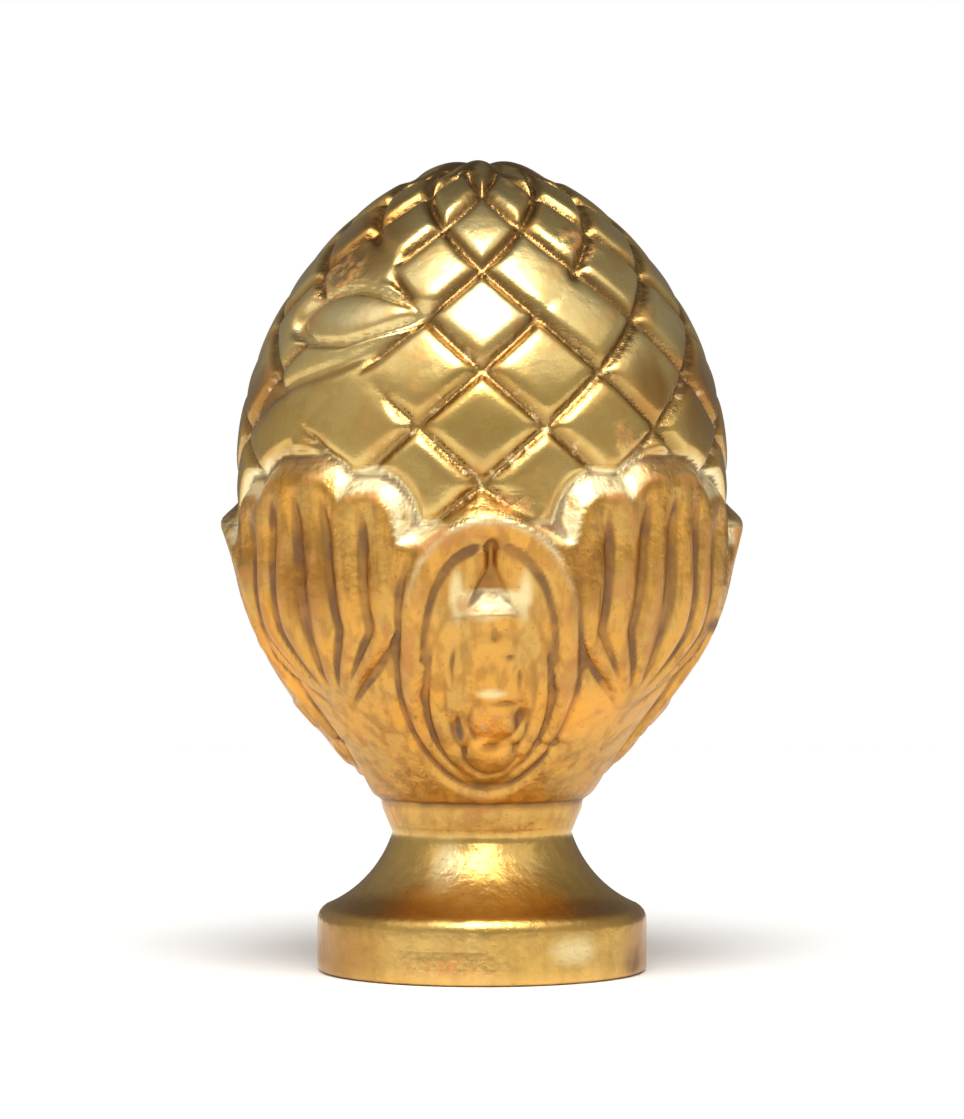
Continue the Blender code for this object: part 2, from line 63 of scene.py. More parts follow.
class Term:
    """A number in a node tree. Python's operators on it add Math nodes."""

    def __init__(self, graph: "Graph", socket: bpy.types.NodeSocket) -> None:
        """Wraps an output socket of a node in that graph."""
        self.graph = graph
        self.socket = socket

    def math(self, operation: str, *operands: Operand) -> "Term":
        """Adds one Math node with this term as its first input.

        Args:
            operation: Blender's name of the operation.
            operands: The second and third inputs.

        Returns:
            The node's result.
        """
        node = self.graph.node("ShaderNodeMath", {"operation": operation}, dict(enumerate((self, *operands))))
        return Term(self.graph, node.outputs[0])

    def _reflected(self, operation: str, first: float) -> "Term":
        """The operation with a plain number as its first input and this term as its second."""
        node = self.graph.node("ShaderNodeMath", {"operation": operation}, {0: first, 1: self})
        return Term(self.graph, node.outputs[0])

    def __add__(self, other: Operand) -> "Term":
        """This plus the other."""
        return self.math("ADD", other)

    def __sub__(self, other: Operand) -> "Term":
        """This minus the other."""
        return self.math("SUBTRACT", other)

    def __rsub__(self, other: float) -> "Term":
        """The other minus this."""
        return self._reflected("SUBTRACT", other)

    def __mul__(self, other: Operand) -> "Term":
        """This times the other."""
        return self.math("MULTIPLY", other)

    def __truediv__(self, other: Operand) -> "Term":
        """This over the other."""
        return self.math("DIVIDE", other)

    def __rtruediv__(self, other: float) -> "Term":
        """The other over this."""
        return self._reflected("DIVIDE", other)

    def __pow__(self, power: Operand) -> "Term":
        """This to a power."""
        return self.math("POWER", power)

    def __neg__(self) -> "Term":
        """Minus this."""
        return self._reflected("SUBTRACT", 0.0)

    __radd__ = __add__
    __rmul__ = __mul__

    def clamped(self) -> "Term":
        """This, held between 0 and 1."""
        return self.math("MAXIMUM", 0.0).math("MINIMUM", 1.0)

    def over(self, low: float, high: float) -> "Term":
        """This eased from 0 at low to 1 at high."""
        settings = {"interpolation_type": "SMOOTHSTEP"}
        inputs = {"Value": self, "From Min": low, "From Max": high}
        return self.graph.term("ShaderNodeMapRange", settings, inputs, "Result")


class Graph:
    """A node tree of either kind, with one way to add a node."""

    def __init__(self, tree: bpy.types.NodeTree) -> None:
        """Wraps a tree."""
        self.tree = tree

    def node(
        self, kind: str, settings: Mapping[str, Any] | None = None, inputs: Mapping[Any, Any] | None = None
    ) -> bpy.types.Node:
        """Adds a node.

        Args:
            kind: Blender's name of the node's type.
            settings: The node's own properties, set first.
            inputs: A value, a socket or a Term for each input, by name or by number.

        Returns:
            The new node.
        """
        node = self.tree.nodes.new(kind)
        for name, value in (settings or {}).items():
            setattr(node, name, value)
        for key, value in (inputs or {}).items():
            source = value.socket if isinstance(value, Term) else value
            if isinstance(source, bpy.types.NodeSocket):
                self.tree.links.new(source, node.inputs[key])
            else:
                node.inputs[key].default_value = source
        return node

    def blend(self, share: "Term", first: Any, second: Any) -> bpy.types.NodeSocket:
        """A colour between two, the first where the share is 0 and the second where it is 1."""
        mix = self.node("ShaderNodeMix", {"data_type": "RGBA"})
        result = mix.outputs[2]
        self.tree.links.new(share.socket, mix.inputs[0])
        for socket, colour in ((mix.inputs[6], first), (mix.inputs[7], second)):
            if isinstance(colour, bpy.types.NodeSocket):
                self.tree.links.new(colour, socket)
            else:
                socket.default_value = colour
        return result

    def term(
        self, kind: str, settings: Mapping[str, Any], inputs: Mapping[Any, Any], output: int | str = 0
    ) -> Term:
        """Adds a node and wraps one of its outputs."""
        return Term(self, self.node(kind, settings, inputs).outputs[output])


def placed(name: str, data: bpy.types.ID) -> bpy.types.Object:
    """A new object with that data, linked to the scene."""
    item = bpy.data.objects.new(name, data)
    bpy.context.scene.collection.objects.link(item)
    return item


def eased(share: Grid) -> Grid:
    """Eases from 0 to 1 as share goes from 0 to 1."""
    share = np.clip(share, 0.0, 1.0)
    return share * share * (3.0 - 2.0 * share)


def bump(distance: Grid) -> Grid:
    """A bell curve, 1 at no distance."""
    return np.exp(-(distance**2))


def blurred(grid: Grid, reach: int) -> Grid:
    """The mean over the points up to reach away, round the turn and up the height."""
    steps = range(-reach, reach + 1)
    round_turn = sum(np.roll(grid, step, axis=1) for step in steps) / len(steps)
    padded = np.pad(round_turn, ((reach, reach), (0, 0)), mode="edge")
    return sum(padded[reach + step : reach + step + len(grid)] for step in steps) / len(steps)


def running_length(points: Grid) -> Grid:
    """Length along a line of points, up to each of them."""
    return np.concatenate([[0.0], np.cumsum(np.hypot(*np.diff(points, axis=0).T))])


def line(start: Sequence[float], end: Sequence[float], steps: int) -> Grid:
    """Points after start, up to end, on a straight line."""
    shares = np.arange(1, steps + 1)[:, None] / steps
    return np.asarray(start) + shares * (np.asarray(end) - np.asarray(start))


def arc(start: Sequence[float], end: Sequence[float], bulge: float, steps: int) -> Grid:
    """Points on a circular arc in the profile's plane.

    Args:
        start: Radius and height where the arc starts, which isn't among the points.
        end: Radius and height where it ends.
        bulge: How far it stands off its chord, outwards if over 0.
        steps: Number of points.

    Returns:
        The points, one row each.
    """
    first, last = np.asarray(start), np.asarray(end)
    chord = np.hypot(*(last - first))
    along = (last - first) / chord
    side = np.array([along[1], -along[0]])
    radius = (chord**2 / 4.0 + bulge**2) / (2.0 * bulge)
    half_turn = math.asin(chord / (2.0 * radius))
    turns = half_turn * (2.0 * np.arange(1, steps + 1) / steps - 1.0)
    run = chord / 2.0 + radius * np.sin(turns)
    off = bulge - radius * (1.0 - np.cos(turns))
    return first + run[:, None] * along + off[:, None] * side


def bezier(corners: Sequence[Sequence[float]], steps: int) -> Grid:
    """Points after the first corner, evenly spaced along a cubic curve with four corners."""
    fine = np.linspace(0.0, 1.0, CURVE_SAMPLES)[:, None]
    weights = ((1 - fine) ** 3, 3 * fine * (1 - fine) ** 2, 3 * fine**2 * (1 - fine), fine**3)
    curve = sum(weight * np.asarray(corner) for weight, corner in zip(weights, corners))
    lengths = running_length(curve)
    wanted = np.arange(1, steps + 1) / steps * lengths[-1]
    return np.stack([np.interp(wanted, lengths, curve[:, axis]) for axis in (0, 1)], axis=1)


@dataclass(frozen=True)
class TurnedBlank:
    """The finial as it leaves the lathe: foot, cove, neck, cup and fruit with nothing carved."""

    foot_diameter: float = 0.0500
    foot_side_height: float = 0.0078
    foot_edge_round: float = 0.0010
    shoulder_width: float = 0.0019
    shoulder_height: float = 0.0024
    shoulder_bulge: float = 0.0005
    neck_diameter: float = 0.0272
    neck_height: float = 0.0210
    cove_hollow: float = 0.0015
    collar_diameter: float = 0.0312
    collar_length: float = 0.0048
    body_diameter: float = 0.0723
    cup_rise: float = 0.0340
    cup_root_angle: float = math.radians(50.0)
    cup_root_reach: float = 0.0160
    cup_top_reach: float = 0.0123
    side_length: float = 0.0167
    fruit_rise: float = 0.0452
    fruit_side_reach: float = 0.0225
    fruit_tip_reach: float = 0.0169
    scales_around: int = 12
    scale_rows: int = 8
    first_row_drop: float = 0.0034
    columns: int = 384
    front_crowding: float = 0.30
    under_steps: int = 1
    edge_steps: int = 4
    foot_steps: int = 5
    shoulder_steps: int = 5
    cove_steps: int = 14
    collar_steps: int = 4
    cup_steps: int = 78
    side_steps: int = 30
    steps_per_row: int = 15

    @property
    def cup_foot(self) -> float:
        """Height at which the cup leaves the neck's collar."""
        return self.neck_height + self.collar_length

    @property
    def fruit_foot(self) -> float:
        """Height at which the fruit begins to close."""
        return self.cup_foot + self.cup_rise + self.side_length

    def profile(self) -> Grid:
        """The outline from the middle of the underside, up the outside to the tip.

        Returns:
            A radius and a height for each point.
        """
        foot = self.foot_diameter / 2.0
        body = self.body_diameter / 2.0
        tip = (0.0, self.fruit_foot + self.fruit_rise)
        under_edge = (foot - self.foot_edge_round, 0.0)
        side_foot = (foot, self.foot_edge_round)
        side_top = (foot, self.foot_side_height)
        shoulder = (foot - self.shoulder_width, self.foot_side_height + self.shoulder_height)
        neck = (self.neck_diameter / 2.0, self.neck_height)
        cup_start = (self.collar_diameter / 2.0, self.cup_foot)
        cup_end = (body, self.cup_foot + self.cup_rise)
        root_handle = (
            cup_start[0] + self.cup_root_reach * math.cos(self.cup_root_angle),
            cup_start[1] + self.cup_root_reach * math.sin(self.cup_root_angle),
        )
        top_handle = (body, cup_end[1] - self.cup_top_reach)
        fruit_start = (body, self.fruit_foot)
        side_handle = (body, self.fruit_foot + self.fruit_side_reach)
        tip_handle = (self.fruit_tip_reach, tip[1])
        edge_bulge = self.foot_edge_round * (1.0 - math.sqrt(0.5))
        return np.concatenate(
            [
                [(0.0, 0.0)],
                line((0.0, 0.0), under_edge, self.under_steps),
                arc(under_edge, side_foot, edge_bulge, self.edge_steps),
                line(side_foot, side_top, self.foot_steps),
                arc(side_top, shoulder, self.shoulder_bulge, self.shoulder_steps),
                arc(shoulder, neck, -self.cove_hollow, self.cove_steps),
                line(neck, cup_start, self.collar_steps),
                bezier((cup_start, root_handle, top_handle, cup_end), self.cup_steps),
                line(cup_end, fruit_start, self.side_steps),
                bezier((fruit_start, side_handle, tip_handle, tip), self.steps_per_row * self.scale_rows),
            ]
        )

    def past_first_row(self, profile: Grid) -> Grid:
        """Length along the profile from the first groove crossings to each of its points."""
        lengths = running_length(profile)
        return lengths - np.interp(self.fruit_foot - self.first_row_drop, profile[:, 1], lengths)

    def rows(self, profile: Grid) -> Grid:
        """Number of half rows of scales up to each point of the profile, from the first crossings."""
        lengths = self.past_first_row(profile)
        return lengths / lengths[-1] * self.scale_rows

    def row_pitch(self, profile: Grid) -> float:
        """Length along the profile from one row of groove crossings to the next."""
        return float(self.past_first_row(profile)[-1]) / self.scale_rows

    def turns(self) -> Grid:
        """Turn of each column from the front, crowded together where the photo shows the carving."""
        even = np.arange(self.columns) * 2.0 * math.pi / self.columns - math.pi
        return even - self.front_crowding * np.sin(even)

    def mesh(self, profile: Grid) -> bpy.types.Mesh:
        """A closed grid of quads round the axis, with a fan of triangles at each end.

        Args:
            profile: The outline from profile().

        Returns:
            The mesh, whose first vertex is under the foot and whose last is the tip.
        """
        rings = profile[1:-1]
        turns = self.turns()
        x = rings[:, :1] * np.sin(turns)
        y = -rings[:, :1] * np.cos(turns)
        z = np.repeat(rings[:, 1:], self.columns, axis=1)
        points = np.stack([x, y, z], axis=2).reshape(-1, 3)
        points = np.concatenate([[(0.0, 0.0, profile[0, 1])], points, [(0.0, 0.0, profile[-1, 1])]])
        sides = [(column, (column + 1) % self.columns) for column in range(self.columns)]
        faces: list[tuple[int, ...]] = [(0, 1 + b, 1 + a) for a, b in sides]
        for ring in range(len(rings) - 1):
            low = 1 + ring * self.columns
            high = low + self.columns
            faces += [(low + a, low + b, high + b, high + a) for a, b in sides]
        last = 1 + (len(rings) - 1) * self.columns
        faces += [(last + a, last + b, len(points) - 1) for a, b in sides]
        mesh = bpy.data.meshes.new("turned blank")
        mesh.from_pydata(points.tolist(), [], faces)
        mesh.shade_smooth()
        return mesh


@dataclass(frozen=True)
class OvalPatch:
    """An oval place on the surface, by the turn and height of its middle."""

    turn: float
    height: float
    half_turn: float
    half_height: float


def patches(*rows: tuple[float, float, float, float]) -> tuple[OvalPatch, ...]:
    """Oval patches, each by its turn and height and their half sizes, in degrees and millimetres."""
    return tuple(
        OvalPatch(math.radians(turn), height / 1000.0, math.radians(half_turn), half_height / 1000.0)
        for turn, height, half_turn, half_height in rows
    )


@dataclass(frozen=True)
class Surface:
    """Places on the blank, as grids with one row for each ring and one column for each turn."""

    turn: Grid
    height: Grid
    radius: Grid
    rows: Grid

    @classmethod
    def of(cls, blank: TurnedBlank, profile: Grid) -> "Surface":
        """The grid of the blank's rings, without its two end points."""
        shape = (len(profile) - 2, blank.columns)
        return cls(
            turn=np.broadcast_to(blank.turns(), shape),
            height=np.broadcast_to(profile[1:-1, 1:], shape),
            radius=np.broadcast_to(profile[1:-1, :1], shape),
            rows=np.broadcast_to(blank.rows(profile)[1:-1, None], shape),
        )

    def oval(self, place: OvalPatch) -> Grid:
        """Distance from the middle of an oval patch, 1 on its outline."""
        across = (self.turn - place.turn) / place.half_turn
        return np.hypot(across, (self.height - place.height) / place.half_height)


@dataclass(frozen=True)
class Outline:
    """An upright oval, blunt above its middle and pointed below. Its heights are over the foot of the cup."""

    top: float
    middle: float
    bottom: float
    half_width: float
    aside: float = 0.0
    upper_power: float = 2.2
    lower_power: float = 1.6
    height_power: float = 2.1
    least_reach: float = 0.05
    least_distance: float = 0.000001

    def reach(self, across: Grid, up: Grid) -> Grid:
        """Distance from the middle, 1 on the outline."""
        above = up > self.middle
        height = np.where(above, self.top - self.middle, self.middle - self.bottom)
        power = np.where(above, self.upper_power, self.lower_power)
        side = np.abs((across - self.aside) / self.half_width) ** power
        rise = np.abs((up - self.middle) / height) ** self.height_power
        return np.maximum((side + rise) ** (1.0 / self.height_power), self.least_reach)

    def away(self, across: Grid, up: Grid) -> Grid:
        """Distance from the middle, in metres."""
        return np.maximum(np.hypot(across - self.aside, up - self.middle), self.least_distance)

    def outside(self, across: Grid, up: Grid) -> Grid:
        """Distance past the outline in metres, below 0 inside it."""
        return (1.0 - 1.0 / self.reach(across, up)) * self.away(across, up)

    def upward(self, across: Grid, up: Grid) -> Grid:
        """How straight above the middle a place lies, from 0 to 1."""
        return np.clip((up - self.middle) / self.away(across, up), 0.0, 1.0)

    def edge_height(self, across: Grid) -> Grid:
        """Height of the upper outline over each place."""
        share = np.minimum(1.0, np.abs(across - self.aside) / self.half_width)
        rise = (1.0 - share**self.upper_power) ** (1.0 / self.height_power)
        return self.middle + (self.top - self.middle) * rise


def ledge(share: Grid, softness: float) -> Grid:
    """A slope from 1 down to 0 as share goes from 0 to 1, with soft ends."""
    share = np.clip(share, 0.0, 1.0)
    return (1.0 - softness) * (1.0 - share) + softness * eased(1.0 - share)


@dataclass(frozen=True)
class Bract:
    """A leaf tip laid on the cup, with a sloping ledge above it and a groove round its sides."""

    outline: Outline
    foot_level: float
    top_level: float
    groove: float
    top_run: float
    lip: float = 0.0
    lip_fall: float = 0.0020
    rounding: float = 0.0
    rounded_width: float = 0.0033
    groove_width: float = 0.0005
    side_run: float = 0.0010
    run_power: float = 3.0
    softness: float = 0.5

    def face(self, across: Grid, up: Grid) -> Grid:
        """Height of the bract's face over the blank."""
        outline = self.outline
        share = np.clip((up - outline.bottom) / (outline.top - outline.bottom), 0.0, 1.0)
        level = self.foot_level + (self.top_level - self.foot_level) * share
        fall = np.maximum(0.0, outline.edge_height(across) - up) / self.lip_fall
        lip = self.lip * np.exp(-fall) * outline.upward(across, up) ** 2
        inside = np.clip(-outline.outside(across, up) / self.rounded_width, 0.0, 1.0)
        return level + lip - self.rounding * (2.0 * inside - 1.0) ** 2

    def laid_on(self, rise: Grid, across: Grid, up: Grid) -> Grid:
        """The surface once this bract stands on it.

        Args:
            rise: The surface under it, as heights over the blank.
            across: Distance to the right of the tongue's middle line.
            up: Height over the foot of the cup.

        Returns:
            The new heights over the blank.
        """
        outside = self.outline.outside(across, up)
        upward = self.outline.upward(across, up)
        run = self.side_run + (self.top_run - self.side_run) * upward**self.run_power
        cover = ledge(outside / run, self.softness)
        groove = self.groove * bump((outside - 0.5 * self.side_run) / self.groove_width)
        return rise + (self.face(across, up) - rise) * cover - groove * (1.0 - upward)


@dataclass(frozen=True)
class Niche:
    """The hollow under a hood. Its walls slope in to a deeper fold, which ends above in a slit."""

    outline: Outline = Outline(top=0.0384, middle=0.0215, bottom=0.0034, half_width=0.0100)
    depth: float = 0.0032
    slope: float = 0.60
    fold_foot: float = 0.0262
    fold_top: float = 0.0384
    fold_half_width: float = 0.0056
    fold_depth: float = 0.0011
    fold_edge: float = 0.0010
    fold_fade: float = 0.25
    slit_foot: float = 0.0352
    slit_top: float = 0.0396
    slit_half_width: float = 0.0006
    slit_reach: float = 0.6
    slit_depth: float = 0.0020
    line_depth: float = 0.0006
    line_half_width: float = 0.0008

    def cut_into(self, rise: Grid, across: Grid, up: Grid) -> Grid:
        """The surface once the hollow is cut into it."""
        share = np.clip(1.0 - self.outline.reach(across, up), 0.0, 1.0)
        rise = rise - self.depth * share**self.slope
        climb = (self.fold_top - up) / (self.fold_top - self.fold_foot)
        fold = eased((self.fold_half_width * climb - np.abs(across)) / self.fold_edge)
        rise = rise - self.fold_depth * fold * eased(share / self.fold_fade)
        middle = 0.5 * (self.slit_foot + self.slit_top)
        along = bump((up - middle) / (self.slit_reach * (self.slit_top - self.slit_foot))) ** 2
        rise = rise - self.line_depth * bump(self.outline.outside(across, up) / self.line_half_width)
        return rise - self.slit_depth * bump(across / self.slit_half_width) * along


@dataclass(frozen=True)
class Pit:
    """A small hollow pressed into the carving, by its middle and its half sizes."""

    aside: float
    up: float
    half_width: float
    half_height: float
    depth: float

    def cut(self, across: Grid, up: Grid) -> Grid:
        """Depth of the pit at each place."""
        reach = np.hypot((across - self.aside) / self.half_width, (up - self.up) / self.half_height)
        return self.depth * bump(reach)


@dataclass(frozen=True)
class Tongue:
    """A hooded tongue: a niche under a hood, and smaller leaf tips stacked below it."""

    hood: Bract = Bract(
        outline=Outline(top=0.0422, middle=0.0214, bottom=0.0024, half_width=0.0131),
        foot_level=0.0004,
        top_level=0.0024,
        lip=0.0021,
        lip_fall=0.0016,
        rounding=0.0008,
        rounded_width=0.0034,
        groove=0.0006,
        top_run=0.0031,
    )
    niche: Niche = field(default_factory=Niche)
    plate: Bract = Bract(
        outline=Outline(top=0.0283, middle=0.0178, bottom=0.0036, half_width=0.0090, upper_power=3.0),
        foot_level=0.0001,
        top_level=-0.0006,
        lip=0.0005,
        lip_fall=0.0022,
        groove=0.0007,
        top_run=0.0042,
        run_power=9.0,
        softness=0.2,
    )
    inner: Bract = Bract(
        outline=Outline(
            top=0.0243,
            middle=0.0175,
            bottom=0.0080,
            half_width=0.0062,
            aside=0.0002,
            lower_power=3.0,
        ),
        foot_level=0.0002,
        top_level=0.0,
        lip=0.0002,
        groove=0.0005,
        side_run=0.0007,
        top_run=0.0012,
    )
    tablet: Bract = Bract(
        outline=Outline(
            top=0.0152,
            middle=0.0128,
            bottom=0.0106,
            half_width=0.0034,
            aside=0.0008,
            upper_power=4.0,
            lower_power=5.0,
        ),
        foot_level=0.0002,
        top_level=0.0005,
        groove=0.0008,
        side_run=0.0007,
        top_run=0.0011,
    )
    knob: Bract = Bract(
        outline=Outline(top=0.0101, middle=0.0078, bottom=0.0050, half_width=0.0034, aside=0.0004),
        foot_level=0.0001,
        top_level=0.0003,
        groove=0.0007,
        side_run=0.0007,
        top_run=0.0009,
    )
    pits: tuple[Pit, ...] = (
        Pit(0.0006, 0.0255, 0.0003, 0.0009, 0.0005),
        Pit(0.0004, 0.0206, 0.0017, 0.0019, 0.0004),
        Pit(-0.0046, 0.0124, 0.0009, 0.0017, 0.0008),
        Pit(0.0050, 0.0130, 0.0011, 0.0018, 0.0010),
        Pit(0.0016, 0.0092, 0.0022, 0.0009, 0.0007),
        Pit(0.0020, 0.0156, 0.0024, 0.0004, 0.0004),
        Pit(0.0030, 0.0224, 0.0010, 0.0005, 0.0004),
        Pit(0.0044, 0.0192, 0.0006, 0.0022, 0.0004),
        Pit(-0.0054, 0.0190, 0.0005, 0.0034, 0.0004),
        Pit(0.0096, 0.0094, 0.0024, 0.0004, 0.0005),
    )

    def laid_on(self, rise: Grid, across: Grid, up: Grid) -> Grid:
        """The surface once the tongue stands on it."""
        rise = self.hood.laid_on(rise, across, up)
        rise = self.niche.cut_into(rise, across, up)
        for bract in (self.plate, self.inner, self.tablet, self.knob):
            rise = bract.laid_on(rise, across, up)
        return rise

    def pitted(self, across: Grid, up: Grid) -> Grid:
        """Depth of the small pits at each place."""
        return sum(pit.cut(across, up) for pit in self.pits)


@dataclass(frozen=True)
class Lobe:
    """One lobe of a leaf's edge, by its angle from the leaf's middle and its tip's height."""

    turn: float
    half_turn: float
    tip: float
    drop: float = 0.0030
    power: float = 4.0

    def edge(self, offset: Grid) -> Grid:
        """Height of the lobe's edge over each place."""
        return self.tip - self.drop * (np.abs(offset - self.turn) / self.half_turn) ** self.power


@dataclass(frozen=True)
class Leaf:
    """A lobed and fluted leaf that stands between two tongues and narrows to a point below."""

    root_thickness: float = 0.0002
    top_thickness: float = 0.0004
    swell_start: float = 0.0180
    swell_end: float = 0.0400
    root_height: float = 0.0132
    spread_height: float = 0.0265
    least_spread: float = 0.02
    half_turn: float = math.radians(31.0)
    edge_turn: float = math.radians(5.0)
    flute_turn: float = math.radians(9.4)
    flute_roundness: float = 1.1
    flute_wander: float = math.radians(1.0)
    wander_length: float = 0.0070
    wander_shift: float = 9.0
    root_flute: float = 0.0010
    top_flute: float = 0.0016
    edge_flute_share: float = 0.12
    edge_level: float = 0.0017
    edge_fade: float = 0.0080
    root_flute_gain: float = 1.6
    root_groove: float = 0.0005
    root_groove_fade: float = 0.25
    ledge_run: float = 0.0040
    ledge_softness: float = 0.25
    valley: float = -0.0007
    valley_start: float = 0.8
    valley_run: float = 0.0016
    lowest_edge: float = 0.0300
    edge_spread: float = 1.6
    edge_places: int = 160
    lobes: tuple[Lobe, ...] = (
        Lobe(math.radians(0.0), math.radians(12.0), 0.0482),
        Lobe(math.radians(18.0), math.radians(6.4), 0.0455),
        Lobe(math.radians(29.0), math.radians(6.5), 0.0382),
    )

    def top(self, offset: Grid) -> Grid:
        """Height of the lobed edge over the foot of the cup."""
        highest = np.maximum.reduce([lobe.edge(np.abs(offset)) for lobe in self.lobes])
        return np.maximum(highest, self.lowest_edge)

    def face(self, offset: Grid, up: Grid) -> Grid:
        """Height of the fluted face over the blank."""
        spread = (up - self.root_height) / (self.spread_height - self.root_height)
        spread = np.clip(spread, self.least_spread, 1.0)
        wander = np.sin(up / self.wander_length + offset * self.wander_shift)
        fan = offset / spread + self.flute_wander * wander
        ridge = np.abs(np.sin(math.pi * fan / self.flute_turn)) ** self.flute_roundness
        on_leaf = eased((self.half_turn - fan) / self.edge_turn)
        swell = eased((up - self.swell_start) / (self.swell_end - self.swell_start))
        flute = self.root_flute + (self.top_flute - self.root_flute) * swell
        flute = flute * eased(spread * self.root_flute_gain)
        thickness = self.root_thickness + (self.top_thickness - self.root_thickness) * swell
        at_edge = eased(1.0 - (self.top(offset) - up) / self.edge_fade)
        flute = flute * (1.0 - (1.0 - self.edge_flute_share) * at_edge)
        thickness = thickness + self.edge_level * at_edge
        border = self.root_groove * bump((fan - self.half_turn) / self.edge_turn) * (1.0 - swell)
        return thickness + flute * ridge * on_leaf - border * eased(spread / self.root_groove_fade)

    def edge_reach(self, offset: Grid, up: Grid, radius: Grid) -> tuple[Grid, Grid]:
        """Distance from the lobed edge, and the face's height at the nearest place on that edge.

        Args:
            offset: Angle from the leaf's middle, on either side.
            up: Height over the foot of the cup.
            radius: Distance from the axis.

        Returns:
            Two grids in metres, true above the edge only.
        """
        edge_offset = np.linspace(-self.edge_turn, self.half_turn * self.edge_spread, self.edge_places)
        edge_up = self.top(edge_offset)
        edge_face = self.face(np.abs(edge_offset), edge_up)
        nearest = np.full(offset.shape, np.inf)
        face = np.zeros(offset.shape)
        for place_offset, place_up, place_face in zip(edge_offset, edge_up, edge_face):
            distance = np.hypot((offset - place_offset) * radius, up - place_up)
            face = np.where(distance < nearest, place_face, face)
            nearest = np.minimum(nearest, distance)
        return nearest, face

    def laid_on(self, rise: Grid, offset: Grid, up: Grid, radius: Grid) -> Grid:
        """The surface once the leaf stands on it, with a ledge sloping back to a valley above its edge."""
        distance, edge_face = self.edge_reach(offset, up, radius)
        above = up > self.top(offset)
        past = np.where(above, distance, 0.0)
        face = np.where(above, edge_face, self.face(offset, up))
        far = eased((past - self.valley_start * self.ledge_run) / self.valley_run)
        ground = self.valley + (rise - self.valley) * far
        return ground + (face - ground) * ledge(past / self.ledge_run, self.ledge_softness)


@dataclass(frozen=True)
class Calyx:
    """The ring of tongues and leaves that stands up from the cup and holds the fruit."""

    repeats: int = 4
    turn: float = math.radians(2.0)
    fade_in: float = 0.0024
    foot_line: float = 0.0003
    foot_line_width: float = 0.0006
    leaf_lean: float = math.radians(-1.0)
    leaf_sway: float = math.radians(2.8)
    # The next sizes, down to the plate's, place a painted highlight on the ledges above the leaves, on the
    # hood's lip and over the plate.
    ledge_highlight_edge: float = 0.0008
    ledge_highlight_from: float = math.radians(6.0)
    ledge_highlight_spread: float = math.radians(9.0)
    least_ledge_highlight: float = 0.18
    lip_inset: float = 0.0002
    lip_width: float = 0.0005
    lip_focus: float = 4.0
    plate_light_edge: float = 0.90
    plate_light_foot: float = 0.15
    plate_light_top: float = 0.2
    probe_height: float = 0.001
    softened: int = 1
    tongue: Tongue = field(default_factory=Tongue)
    leaf: Leaf = field(default_factory=Leaf)

    def rise(self, surface: Surface, cup_foot: float) -> tuple[Grid, Grid]:
        """How far the calyx stands over the blank, and how much of the surface it covers."""
        from_tongue, offset = self.places(surface)
        up = surface.height - cup_foot
        low = self.carved(np.zeros_like(up), from_tongue, offset, up, surface.radius)
        raised = np.full_like(up, self.probe_height)
        high = self.carved(raised, from_tongue, offset, up, surface.radius)
        cover = 1.0 - (high - low) / self.probe_height
        foot_line = self.foot_line * bump(up / self.foot_line_width)
        pitted = self.tongue.pitted(from_tongue * surface.radius, up)
        rise = blurred(low * eased(up / self.fade_in), self.softened) - foot_line - pitted
        return rise, np.where(up > 0.0, cover, 1.0)

    def painted_ledge_highlight(self, surface: Surface, cup_foot: float) -> Grid:
        """Where a painted highlight brightens the ledges, from 0 to 1: above the leaves, on the hood's lip
        and over the plate.
        """
        from_tongue, offset = self.places(surface)
        up = surface.height - cup_foot
        distance, _ = self.leaf.edge_reach(offset, up, surface.radius)
        past = np.where(up > self.leaf.top(offset), distance, 0.0)
        on_ledge = eased(past / self.ledge_highlight_edge)
        on_ledge = on_ledge * eased((self.leaf.ledge_run - past) / self.ledge_highlight_edge + 1.0)
        across = from_tongue * surface.radius
        hood = self.tongue.hood.outline
        lit = eased((offset - self.ledge_highlight_from) / self.ledge_highlight_spread)
        lit = self.least_ledge_highlight + (1.0 - self.least_ledge_highlight) * lit
        above_leaf = on_ledge * lit * eased(hood.outside(across, up) / self.ledge_highlight_edge)
        lip = bump((hood.outside(across, up) + self.lip_inset) / self.lip_width)
        lip = lip * hood.upward(across, up) ** self.lip_focus
        plate = self.tongue.plate
        past_plate = plate.outline.outside(across, up) / plate.top_run
        upward = plate.outline.upward(across, up)
        over_plate = eased(past_plate / self.plate_light_foot)
        over_plate = over_plate * eased((1.0 - past_plate) / self.plate_light_top)
        over_plate = over_plate * eased((upward - self.plate_light_edge) / (1.0 - self.plate_light_edge))
        return np.maximum.reduce([above_leaf, lip, over_plate])

    def places(self, surface: Surface) -> tuple[Grid, Grid]:
        """Angle from the nearest tongue's middle, and from the nearest leaf's on either side."""
        repeat = 2.0 * math.pi / self.repeats
        from_tongue = np.mod(surface.turn - self.turn + repeat / 2.0, repeat) - repeat / 2.0
        lean = self.leaf_lean + self.leaf_sway * np.sin(surface.turn)
        from_leaf = np.mod(surface.turn - self.turn - lean, repeat) - repeat / 2.0
        return from_tongue, np.abs(from_leaf)

    def carved(self, rise: Grid, from_tongue: Grid, offset: Grid, up: Grid, radius: Grid) -> Grid:
        """The calyx laid on a surface that already has this rise."""
        leafed = self.leaf.laid_on(rise, offset, up, radius)
        return self.tongue.laid_on(leafed, from_tongue * radius, up)


class GrooveHand(Enum):
    """Which way a set of grooves winds as it climbs, seen from outside."""

    RIGHT = 1.0
    LEFT = -1.0


